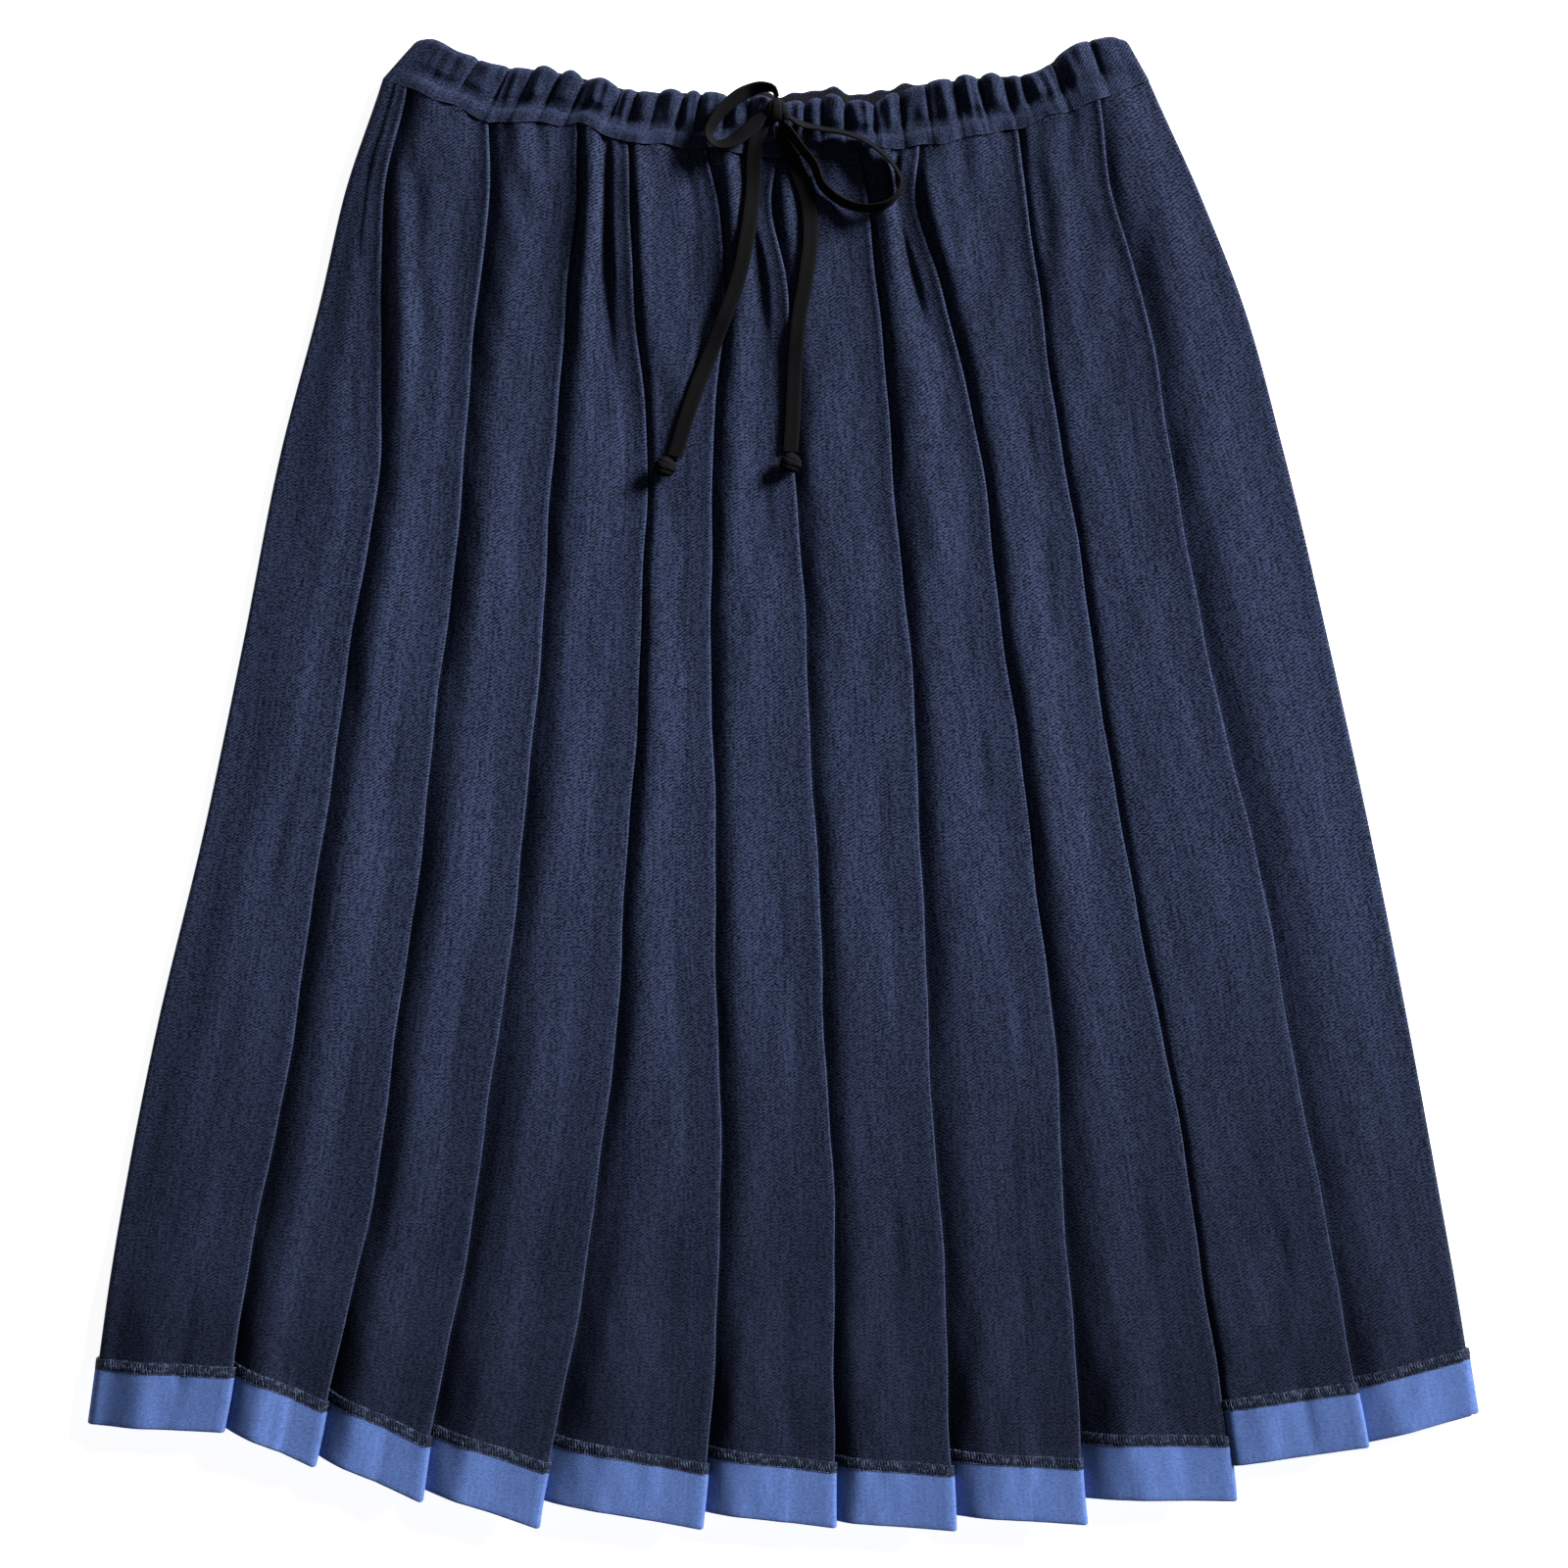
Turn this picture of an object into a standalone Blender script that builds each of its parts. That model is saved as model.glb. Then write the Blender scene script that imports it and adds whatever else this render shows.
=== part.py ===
"""A midi skirt laid flat on its back: pleated front and back, a gathered casing at the waist, hems
turned up to the outside, and a flat drawstring tied in a bow. Lengths here are in millimetres.
X runs across the skirt, Y from hem to waist, and Z up from the floor."""

import math
from collections import namedtuple

import bpy
import numpy as np
from mathutils import Vector
from mathutils.bvhtree import BVHTree

MM = 0.001
DIAGONAL = math.sqrt(0.5)
SHARP_DEGREES = 50
RAY_FROM = 100.0  # above everything

# The cloth and how it is stacked
CLOTH = 1.0
GAP = 0.3
LAYER = CLOTH + GAP
TURNED = 2 * LAYER  # what two layers of turn-up add inside a pleat
TURN_UP = 33.5  # how far up the turned hem reaches
HEM_RISE_STARTS = 110.0  # height above the hem where the layers begin to part for the turn-up
HEM_RISE_ENDS = 48.0

# Pleats: the depth hidden under each fold, and the soft crown of each front panel
FOLD_DEPTH_WAIST = 9.0
FOLD_DEPTH_HEM = 22.0
FOLD_DEPTH_SHARE = 0.4  # never more of a panel's width than this
FOLD_MARGIN = 2.0  # from where a panel's rise ends to the pleat that it covers
CROWN = 1.0
CROWN_WIDTH = 25.0  # a narrower panel is flatter
NARROW_PANEL = 15.0  # the first panel starts high while it is this narrow
NARROW_PANEL_FADE = 20.0
FRONT_STEPS = tuple(step / 7 for step in range(1, 7))
BACK_STEPS = (0.12, 0.24, 0.36)
BACK_RISE_SHARE = 0.36  # a back panel reaches the floor within this share of its width

# Heights on the skirt at which each fold was measured, between the waist seam and the hem
MEASURED_Y = (288, 240, 163, 72, -24, -120, -216)

# Each line down the front: the sides, and the folds from left to right. next_hem_y is the corner of
# the panel that comes out from under the fold.
Line = namedtuple("Line", "seam_x seam_y measured_x hem_x hem_y next_hem_y")
FRONT_LINES = (
    Line(-197.0, 346.0, (-214.5, -225.5, -245.5, -263.5, -283.5, -306.5, -325.0), -338.5, -312.5, -312.5),
    Line(-184.0, 340.5, (-196.5, -197.0, -198.0, -211.5, -226.0, -240.0, -258.0), -274.5, -315.5, -315.5),
    Line(-144.0, 323.5, (-144.0, -150.5, -156.0, -166.0, -177.0, -189.5, -204.0), -230.5, -334.5, -330.0),
    Line(-101.0, 322.5, (-100.5, -106.5, -112.5, -119.0, -127.5, -139.5, -153.5), -178.0, -352.5, -347.5),
    Line(-77.0, 313.5, (-75.5, -73.0, -67.5, -70.0, -76.0, -82.5, -94.0), -120.0, -366.0, -353.0),
    Line(-38.5, 310.5, (-33.5, -29.0, -35.0, -35.5, -34.0, -32.5, -31.0), -40.0, -366.5, -357.5),
    Line(-3.0, 306.0, (-5.5, 1.5, 5.0, 10.5, 15.5, 20.0, 24.5), 24.0, -365.0, -361.5),
    Line(36.0, 311.0, (41.0, 46.0, 52.5, 61.0, 67.0, 70.5, 77.0), 83.0, -366.0, -359.5),
    Line(65.5, 311.0, (64.0, 78.5, 95.5, 107.5, 120.5, 132.0, 138.0), 147.5, -363.5, -351.0),
    Line(115.5, 321.0, (118.0, 125.0, 136.5, 151.0, 165.5, 185.0, 201.5), 220.0, -352.0, -335.0),
    Line(154.5, 334.5, (161.5, 175.0, 190.0, 205.5, 229.0, 247.5, 265.5), 284.5, -326.0, -320.0),
    Line(179.5, 345.0, (204.0, 223.0, 244.5, 266.0, 287.0, 306.0, 323.5), 338.5, -306.0, -306.0),
)
# The back's folds, as shares of the way across, and how far its hem stays behind the front's
BACK_FOLDS = (0.10, 0.185, 0.28, 0.365, 0.46, 0.545, 0.64, 0.725, 0.815, 0.905)
BACK_HEM_LIFT = 4.0

# Rows down a panel: the share of the way from seam to hem, and millimetres back up from there. Rows
# above the turn-up are level across a pleat's layers; those in it follow each panel's own hem.
HEM_ROWS = ((1, HEM_RISE_STARTS), (1, HEM_RISE_ENDS), (1, TURN_UP), (1, 0))
FRONT_ROWS = ((0, 0), (0.03, 0), (0.08, 0), (0.15, 0), (0.24, 0), (0.38, 0), (0.6, 0), *HEM_ROWS)
BACK_ROWS = ((0, 0), (0.1, 0), (0.25, 0), (0.45, 0), (0.65, 0), *HEM_ROWS)

# Valleys pinched by the elastic: place along the front's seam, depth as a share of the puff
Valley = namedtuple("Valley", "x depth")
VALLEYS = (
    Valley(-164.5, 0.5), Valley(-147.5, 0.8), Valley(-135.0, 0.7), Valley(-121.0, 0.9),
    Valley(-108.0, 1.0), Valley(-89.0, 0.8), Valley(-80.0, 0.9), Valley(-68.0, 0.5),
    Valley(-55.0, 0.9), Valley(-46.0, 0.8), Valley(-32.0, 0.7), Valley(-20.0, 0.8),
    Valley(-4.0, 0.6), Valley(9.0, 0.8), Valley(18.0, 0.7), Valley(30.0, 0.8),
    Valley(45.0, 0.7), Valley(59.0, 1.0), Valley(73.0, 0.6), Valley(87.5, 0.9),
    Valley(101.0, 0.8), Valley(114.0, 0.9), Valley(123.0, 0.7), Valley(140.0, 0.9),
    Valley(160.0, 0.6),
)
VALLEY_HALF = 3.4  # half width of a valley at the seam
VALLEY_SPREAD = 0.03  # how much wider for each millimetre down the skirt
VALLEY_FAN = 0.0016  # how much further apart, as a share for each millimetre down
PUFF_PANEL = 2.6  # the panel's rise between valleys at the seam
PUFF_REACH = 130.0  # how far down it fades out
SIDE_CALM = 32.0  # the rise dies out this near a side
EDGE_CALM = 0.2  # share of a panel's width over which the rise settles to that of its pleats

# Soft rolls of cloth below the waist: from, to, height and half width. The shares are of its length.
ROLL_LEAD = 0.15  # a roll begins this far before its first place
ROLL_RISE = 0.25
ROLL_FADE = 0.45
Roll = namedtuple("Roll", "x0 y0 x1 y1 height half")
ROLLS = (
    Roll(-189.0, 316.0, -181.0, 158.0, 1.8, 7.0),
    Roll(-98.0, 316.0, -99.0, 190.0, 2.2, 8.0),
    Roll(-71.0, 305.0, -66.0, 215.0, 1.8, 6.0),
    Roll(-32.0, 300.0, -24.0, 245.0, 2.0, 6.0),
    Roll(47.0, 290.0, 54.0, 160.0, 2.2, 8.0),
    Roll(100.0, 300.0, 116.0, 220.0, 1.4, 9.0),
    Roll(140.0, 305.0, 152.0, 225.0, 1.4, 8.0),
)

# The waistband: one casing round the waist, its top line from left to right
TOP_LINE = (
    (-180.0, 364.5), (-173.0, 365.8), (-160.5, 359.5), (-139.5, 352.5), (-115.5, 350.5), (-97.5, 346.5),
    (-73.0, 340.5), (-45.5, 339.5), (-30.0, 336.0), (1.0, 333.5), (21.5, 337.0), (40.5, 334.0),
    (55.5, 339.5), (82.5, 345.5), (102.0, 347.5), (126.0, 350.5), (137.0, 358.5), (152.0, 365.3),
    (165.0, 365.3), (168.0, 363.0),
)
BAND_HALF = 1.5  # half of the casing's thickness, elastic and all
BAND_SLIT = 0.6  # between its front and its back
PUFF_BAND = 2.6
BACK_TOP_RISE = 5.0  # the back's top shows above the front's in the middle
BACK_RISE_CENTRE = 24.0
BACK_RISE_HALF = 62.0
BACK_RISE_EASE = 44.0
# Across the casing from seam to top: share of its height, and share of the puff
BAND_PROFILE = ((0.0, 0.1), (0.15, 0.25), (0.27, -0.1), (0.42, 0.75), (0.7, 1.0), (0.92, 0.55))
BAND_TOP_ROUND = 0.93
VALLEY_SHOULDER = 0.8 * VALLEY_HALF
WIDE_RIDGE = 3 * VALLEY_HALF  # a ridge wider than this has a station in its middle
SMOOTH_STATIONS = (-190.0, -182.0, -174.0, 168.0, 173.0)  # near the sides, where nothing is pinched
BAND_END_CLEAR = 4.0

# The drawstring tape
TAPE_WIDTH = 7.8
TAPE_THICK = 1.3
TAPE_STEP = 6.0
TAPE_PINCH = 0.55  # its width where the knot squeezes it, as a share
KNOT_AT = (-3.8, 329.0)
KNOT_HALF = (5.8, 5.8, 3.8)
END_KNOT_HALF = (5.6, 5.0, 3.6)
KNOT_SLICES = 14
KNOT_STACKS = 8
# Routes in plan: x, y and how far the tape is turned on its edge, in degrees
TAIL_LEFT = (
    (-8.6, 324.2, 0), (-12.2, 318.5, 0), (-14.2, 311.0, 0), (-15.2, 290.0, 0), (-18.2, 267.0, 5),
    (-22.5, 247.0, 5), (-32.8, 219.5, 0), (-45.5, 186.5, 0), (-53.6, 160.5, 0),
)
TAIL_RIGHT = (
    (-2.4, 322.1, 0), (1.0, 312.5, 0), (6.0, 300.5, 0), (11.2, 286.5, 0), (12.8, 271.5, 5),
    (10.6, 248.0, 5), (7.2, 228.0, 0), (5.3, 207.5, 0), (3.8, 175.0, 0), (3.0, 162.8, 0),
)
LOOP_LEFT = (
    (-3.4, 335.4, 70), (-4.8, 339.4, 75), (-10.4, 340.6, 60), (-18.2, 338.2, 45), (-27.4, 331.6, 45),
    (-34.0, 323.6, 55), (-36.8, 316.8, 62), (-33.6, 312.4, 58), (-26.0, 313.0, 40), (-18.6, 318.0, 22),
    (-13.0, 323.4, 12), (-9.9, 326.9, 8),
)
LOOP_RIGHT = (
    (2.7, 325.2, 62), (9.0, 321.8, 62), (16.3, 320.2, 66), (30.7, 317.3, 68), (40.8, 313.0, 70),
    (49.4, 306.4, 72), (55.0, 299.6, 76), (57.4, 293.2, 80), (55.4, 287.4, 80), (50.4, 282.8, 76),
    (42.7, 280.8, 72), (35.0, 281.6, 68), (25.9, 285.6, 66), (18.4, 292.6, 66), (14.4, 302.4, 66),
    (8.2, 310.2, 66), (3.2, 317.2, 66), (-0.4, 322.4, 66),
)
END_KNOT_LEFT = (-58.2, 154.9)
END_KNOT_RIGHT = (3.2, 156.8)

Finish = namedtuple("Finish", "colour roughness")
NAVY = Finish((0.016, 0.024, 0.062, 1.0), 0.9)
LIGHT_BLUE = Finish((0.115, 0.205, 0.58, 1.0), 0.92)
TAPE_BLACK = Finish((0.013, 0.014, 0.016, 1.0), 0.85)


def smooth(value):
    """From 0 to 1 with level ends."""
    value = min(max(value, 0.0), 1.0)
    return value * value * (3 - 2 * value)


def mix(first, second, share):
    return first + (second - first) * share


def smooth_curve(knots, values, at):
    """Reads a smooth curve through the values at one place; the knots rise."""
    slopes = np.gradient(values, knots)
    index = int(np.clip(np.searchsorted(knots, at, side="right") - 1, 0, len(knots) - 2))
    span = knots[index + 1] - knots[index]
    part = min(max((at - knots[index]) / span, 0.0), 1.0)
    rest = 1 - part
    held = (1 + 2 * part) * rest * rest * values[index]
    reached = part * part * (3 - 2 * part) * values[index + 1]
    bent = part * rest * rest * slopes[index] - part * part * rest * slopes[index + 1]
    return float(held + reached + span * bent)


def line_x(line, y):
    """Where a line of the front lies at a height."""
    knots = [-line.seam_y, *(-measured for measured in MEASURED_Y), -line.hem_y]
    return smooth_curve(knots, [line.seam_x, *line.measured_x, line.hem_x], -y)


def row_y(seam_y, hem_y, row):
    share, back_up = row
    return mix(seam_y, hem_y, share) + back_up


def in_turn_up(row):
    return row[0] == 1 and row[1] <= TURN_UP


def front_places(row):
    """For each line of the front at a row: where the upper panel ends, and where the next begins."""
    over = []
    under = []
    for line in FRONT_LINES:
        own_hem_y = line.hem_y if in_turn_up(row) else line.next_hem_y
        for places, hem_y in ((over, own_hem_y), (under, line.next_hem_y)):
            y = row_y(line.seam_y, hem_y, row)
            places.append((line_x(line, y), y))
    return over, under


def front_seam_y(x):
    knots = [line.seam_x for line in FRONT_LINES]
    return float(np.interp(x, knots, [line.seam_y for line in FRONT_LINES]))


def front_hem_y(x):
    """The highest that the front's hem comes near x."""
    knots = [line.hem_x for line in FRONT_LINES]
    return float(np.interp(x, knots, [line.next_hem_y for line in FRONT_LINES]))


def back_seam_x(share):
    return mix(FRONT_LINES[-1].seam_x, FRONT_LINES[0].seam_x, share)


def back_seam_y(x):
    """The back's seam runs straight from fold to fold."""
    knots = sorted(back_seam_x(share) for share in (0.0, *BACK_FOLDS, 1.0))
    return float(np.interp(x, knots, [front_seam_y(knot) for knot in knots]))


def back_places(row):
    """The same for the back, seen from its own outer side, so from right to left of the front."""
    left, right = FRONT_LINES[0], FRONT_LINES[-1]
    places = []
    sides = [line_x(line, row_y(line.seam_y, line.hem_y, row)) for line in (right, left)]
    for share in (0.0, *BACK_FOLDS, 1.0):
        hem_y = front_hem_y(mix(right.hem_x, left.hem_x, share)) + BACK_HEM_LIFT * in_turn_up(row)
        places.append((-mix(*sides, share), row_y(front_seam_y(back_seam_x(share)), hem_y, row)))
    return places, places


def hem_share(row):
    """0 above the hem, 1 where the turned-up cloth lies in the pleats."""
    share, back_up = row
    return float(share == 1 and back_up <= HEM_RISE_ENDS)


def down_share(row):
    share, back_up = row
    return share - back_up / (FRONT_LINES[0].seam_y - FRONT_LINES[0].hem_y)


def front_lift(x, y):
    """How far the gathers and soft rolls raise the front at a place."""
    below = front_seam_y(x) - y
    fade = 1 - smooth(below / PUFF_REACH)
    half = VALLEY_HALF + VALLEY_SPREAD * below
    spread = 1 + below * VALLEY_FAN
    pinch = max(valley.depth * math.exp(-(((x / spread - valley.x) / half) ** 2)) for valley in VALLEYS)
    lift = PUFF_PANEL * fade * (1 - pinch)
    for roll in ROLLS:
        along = (roll.y0 - y) / (roll.y0 - roll.y1)
        fading = (along - 1 + ROLL_FADE) / ROLL_FADE
        ends = smooth((along + ROLL_LEAD) / ROLL_RISE) * (1 - smooth(fading))
        off = (x - mix(roll.x0, roll.x1, min(max(along, 0.0), 1.0))) / roll.half
        lift += roll.height * ends * math.exp(-off * off)
    left, right = line_x(FRONT_LINES[0], y), line_x(FRONT_LINES[-1], y)
    return lift * smooth(min(x - left, right - x) / SIDE_CALM)


Point = namedtuple("Point", "x y h nx nh")


def pleated_section(places, row, side_levels, side_radii, rises, lift):
    """The wall's middle line across one row, seen from the cloth's outer side, from left to right.

    Heights count outward from the innermost layer. side_levels and side_radii hold a value for each
    side, and rises holds the steps of a panel's climb, the share of its width that this takes and
    its crown."""
    over, under = places
    steps, climb, crown = rises
    parted = hem_share(row)
    inner_gap = LAYER + TURNED * parted
    top = inner_gap + LAYER
    bends = (inner_gap / 2, LAYER / 2)
    last = len(over) - 1
    nominal = mix(FOLD_DEPTH_WAIST, FOLD_DEPTH_HEM, down_share(row))
    widths = [over[k][0] - under[k - 1][0] for k in range(1, last + 1)]
    depths = [0.0] + [min(nominal, FOLD_DEPTH_SHARE * width) for width in widths]
    lifts = [lift(*over[k]) for k in range(last + 1)]
    points = []

    def row_line(k):
        """The row's height along panel k, and on under the fold at its left."""
        (x0, y0), (x1, y1) = under[k - 1], over[k]
        if in_turn_up(row):
            return lambda x: y0 + (y1 - y0) * (x - x0) / (x1 - x0)
        return lambda x: float(np.interp(x, *zip(*over)))

    for k in range(1, last + 1):
        x0, y0 = under[k - 1]
        x1, y1 = over[k]
        line = row_line(k)
        level0 = side_levels[0] if k == 1 else 0.0
        level1 = side_levels[1] if k == last else top
        if k == 1:
            radius = side_radii[0]
            centre = x0 + CLOTH / 2 + radius
            points.append(Point(x0 + CLOTH / 2, y0, level0 - radius + GAP / 2, -1, 0))
            drop = radius * (1 - DIAGONAL)
            points.append(Point(centre - radius * DIAGONAL, y0, level0 - drop, -DIAGONAL, DIAGONAL))
            start = centre
        else:
            start = x0
            back = x0 - depths[k - 1] + CLOTH / 2 + bends[0]
            points.append(Point(back, line(back), lifts[k - 1], 0, 1))
        points.append(Point(start, line(start), level0 + lifts[k - 1], 0, 1))
        if k == last:
            radius = side_radii[1]
            end = x1 - CLOTH / 2 - radius
        else:
            end = min(x1, under[k][0]) - depths[k] - FOLD_MARGIN
        middle = []
        round_top = crown * smooth((end - start) / CROWN_WIDTH)
        for step in steps:
            x = mix(start, end, step)
            y = line(x)
            calm = smooth(min(step, 1 - step) / EDGE_CALM)
            raised = mix(mix(lifts[k - 1], lifts[k], step), lift(x, y), calm)
            level = mix(level0, level1, smooth(step / climb)) + round_top * math.sin(math.pi * step)
            middle.append((x, y, level + raised))
        ends = [(start, y0, level0 + lifts[k - 1]), *middle, (end, y1, level1 + lifts[k])]
        for before, (x, y, h), after in zip(ends, middle, ends[2:]):
            run, climbed = after[0] - before[0], after[2] - before[2]
            length = math.hypot(run, climbed)
            points.append(Point(x, y, h, -climbed / length, run / length))
        points.append(Point(end, line(end), level1 + lifts[k], 0, 1))
        if k == last:
            drop = radius * (1 - DIAGONAL)
            points.append(Point(end + radius * DIAGONAL, y1, level1 - drop, DIAGONAL, DIAGONAL))
            points.append(Point(x1 - CLOTH / 2, y1, level1 - radius + GAP / 2, 1, 0))
            continue
        tip = x1 - CLOTH / 2 - bends[1]
        points.append(Point(tip, y1, top + lifts[k], 0, 1))
        points.append(Point(tip + bends[1], y1, top - bends[1] + lifts[k], 1, 0))
        points.append(Point(tip, y1, inner_gap + lifts[k], 0, -1))
        turn = under[k][0] - depths[k] + CLOTH / 2 + bends[0]
        turn_y = row_line(k + 1)(turn)
        points.append(Point(turn, turn_y, inner_gap + lifts[k], 0, -1))
        points.append(Point(turn - bends[0], turn_y, bends[0] + lifts[k], 1, 0))
    return points


def stack_of(row):
    """Heights of the front's innermost layer and of the back's, and of the back's outermost."""
    parted = hem_share(row)
    back_outer = CLOTH / 2 + LAYER * parted
    back_inner = back_outer + 2 * LAYER + TURNED * parted
    return back_inner + LAYER, back_inner, back_outer


def side_start_level(places, row):
    """The first front panel starts at the top of the pleat where it is too narrow to climb."""
    top = 2 * LAYER + TURNED * hem_share(row)
    width = places[0][1][0] - places[0][0][0]
    return top * (1 - smooth((width - NARROW_PANEL) / NARROW_PANEL_FADE))


def front_section(row):
    places = front_places(row)
    base, _, back_outer = stack_of(row)
    levels = (side_start_level(places, row), 0.0)
    radii = tuple((base + level - back_outer) / 2 for level in levels)
    section = pleated_section(places, row, levels, radii, (FRONT_STEPS, 1.0, CROWN), front_lift)
    return [p._replace(h=base + p.h) for p in section]


def back_section(row):
    """Worked out from its own outer side, then turned over about the skirt's middle."""
    base, back_inner, back_outer = stack_of(row)
    top = back_inner - back_outer
    start_level = side_start_level(front_places(row), row)
    radii = ((base - back_outer) / 2, (base + start_level - back_outer) / 2)
    rises = (BACK_STEPS, BACK_RISE_SHARE, 0.0)
    section = pleated_section(back_places(row), row, (top, top), radii, rises, lambda x, y: 0.0)
    return [Point(-p.x, p.y, back_inner - p.h, -p.nx, -p.nh) for p in section]


def fabric(name, finish):
    material = bpy.data.materials.new(name)
    material.use_nodes = True
    shader = material.node_tree.nodes["Principled BSDF"]
    shader.inputs["Base Color"].default_value = finish.colour
    shader.inputs["Roughness"].default_value = finish.roughness
    shader.inputs["Metallic"].default_value = 0.0
    return material


def add_object(name, vertices, faces, material):
    """A named object from vertices in millimetres, with its quads split the same way throughout."""
    triangles = []
    for face in faces:
        triangles.append((face[0], face[1], face[2]))
        if len(face) == 4:
            triangles.append((face[0], face[2], face[3]))
    mesh = bpy.data.meshes.new(name)
    mesh.from_pydata([tuple(c * MM for c in vertex) for vertex in vertices], [], triangles)
    mesh.materials.append(material)
    mesh.shade_smooth()
    mesh.set_sharp_from_angle(angle=math.radians(SHARP_DEGREES))
    piece = bpy.data.objects.new(name, mesh)
    bpy.context.scene.collection.objects.link(piece)
    return piece


def add_wall(name, sections, inner, outer, material, seam_y=None):
    """A closed wall through the sections, from one distance off their middle line to another. Where
    seam_y is given, the first row follows that seam."""
    count = len(sections[0])
    vertices = []
    for section in sections:
        for distance in (inner, outer):
            vertices += [(p.x + p.nx * distance, p.y, p.h + p.nh * distance) for p in section]
    if seam_y is not None:
        vertices[: 2 * count] = [(x, seam_y(x), h) for x, _, h in vertices[: 2 * count]]
    faces = []
    ring = 2 * count

    def inside(row, index):
        return row * ring + index

    def outside(row, index):
        return row * ring + count + index

    for row in range(len(sections) - 1):
        for j in range(count - 1):
            faces.append((outside(row, j), outside(row + 1, j), outside(row + 1, j + 1), outside(row, j + 1)))
            faces.append((inside(row, j), inside(row, j + 1), inside(row + 1, j + 1), inside(row + 1, j)))
        for j, turned in ((0, False), (count - 1, True)):
            side = (inside(row, j), inside(row + 1, j), outside(row + 1, j), outside(row, j))
            faces.append(side[::-1] if turned else side)
    for row, turned in ((0, False), (len(sections) - 1, True)):
        for j in range(count - 1):
            cap = (inside(row, j), outside(row, j), outside(row, j + 1), inside(row, j + 1))
            faces.append(cap[::-1] if turned else cap)
    return add_object(name, vertices, faces, material)


def band_pinch(x):
    return max(valley.depth * math.exp(-(((x - valley.x) / VALLEY_HALF) ** 2)) for valley in VALLEYS)


def band_top(x):
    """The top's place for a station at x along the seam."""
    left, right = FRONT_LINES[0].seam_x, FRONT_LINES[-1].seam_x
    top_x = mix(TOP_LINE[0][0], TOP_LINE[-1][0], (x - left) / (right - left))
    return top_x, float(np.interp(top_x, *zip(*TOP_LINE)))


def band_stations():
    """Places along the front: each valley, its two shoulders, and the middle of each ridge."""
    left, right = FRONT_LINES[0].seam_x, FRONT_LINES[-1].seam_x
    places = [*SMOOTH_STATIONS, *(line.seam_x for line in FRONT_LINES)]
    for valley in VALLEYS:
        places += [valley.x - VALLEY_SHOULDER, valley.x, valley.x + VALLEY_SHOULDER]
    for valley, after in zip(VALLEYS, VALLEYS[1:]):
        if after.x - valley.x > WIDE_RIDGE:
            places.append((valley.x + after.x) / 2)
    return [x for x in sorted(places) if left + BAND_END_CLEAR < x < right - BAND_END_CLEAR]


def add_waistband(material):
    """The casing as a flattened ring: along the front, round the right side, back, and round the left."""
    left, right = FRONT_LINES[0].seam_x, FRONT_LINES[-1].seam_x
    back_level = BAND_HALF
    front_level = 3 * BAND_HALF + BAND_SLIT
    radius = (front_level - back_level) / 2
    rings = []

    def add_ring(x, shift, level, normal, puff, rise, seam_y):
        """One ring of the casing's profile, standing on the seam."""
        top_x, top_y = band_top(x)
        profile = [(across, BAND_HALF + puff * share) for across, share in BAND_PROFILE]
        profile += [(1.0, 0.0), (BAND_TOP_ROUND, -BAND_HALF), (0.0, -BAND_HALF)]
        ring = []
        for across, height in profile:
            out = shift + normal[0] * height
            y = mix(seam_y(x + out) + GAP, top_y + rise, across)
            ring.append((mix(x, top_x, across) + out, y, level + normal[1] * height))
        rings.append(ring)

    for x in band_stations():
        calm = smooth(min(x - left, right - x) / SIDE_CALM)
        puff = PUFF_BAND * calm * (1 - band_pinch(x))
        add_ring(x, 0.0, front_level, (0, 1), puff, 0.0, front_seam_y)
    edge = BAND_HALF + radius

    def add_side(x, turns):
        """The rings round one side, with no puff."""
        for degrees in turns:
            lean = (math.cos(math.radians(degrees)), math.sin(math.radians(degrees)))
            level = (front_level + back_level) / 2 + radius * lean[1]
            add_ring(x, radius * lean[0], level, lean, 0.0, 0.0, front_seam_y)

    add_side(right - edge, (90, 45, 0, -45, -90))
    for x in map(back_seam_x, BACK_FOLDS):
        rise = BACK_TOP_RISE * smooth((BACK_RISE_HALF - abs(x - BACK_RISE_CENTRE)) / BACK_RISE_EASE)
        add_ring(x, 0.0, back_level, (0, -1), 0.0, rise, back_seam_y)
    add_side(left + edge, (-90, -135, -180, -225, -270))

    around, across = len(rings), len(rings[0])
    faces = []
    for i in range(around):
        for j in range(across):
            this, after = i * across, ((i + 1) % around) * across
            faces.append((this + j, after + j, after + (j + 1) % across, this + (j + 1) % across))
    return add_object("waistband", [place for ring in rings for place in ring], faces, material)


def route_places(route):
    """Evenly spaced places on a smooth curve through a route's points."""
    points = np.array(route, float)
    steps = np.hypot(*np.diff(points[:, :2], axis=0).T)
    along = np.concatenate([[0.0], np.cumsum(steps)])
    count = max(int(round(along[-1] / TAPE_STEP)), 2)
    places = []
    for at in np.linspace(0.0, along[-1], count + 1):
        places.append([smooth_curve(along, points[:, column], at) for column in range(3)])
    return places


def height_under(trees, x, y):
    """The top of what lies under a place, in millimetres."""
    best = 0.0
    for tree in trees:
        hit = tree.ray_cast(Vector((x, y, RAY_FROM)) * MM, Vector((0, 0, -1)))[0]
        if hit is not None:
            best = max(best, hit.z / MM)
    return best


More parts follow.
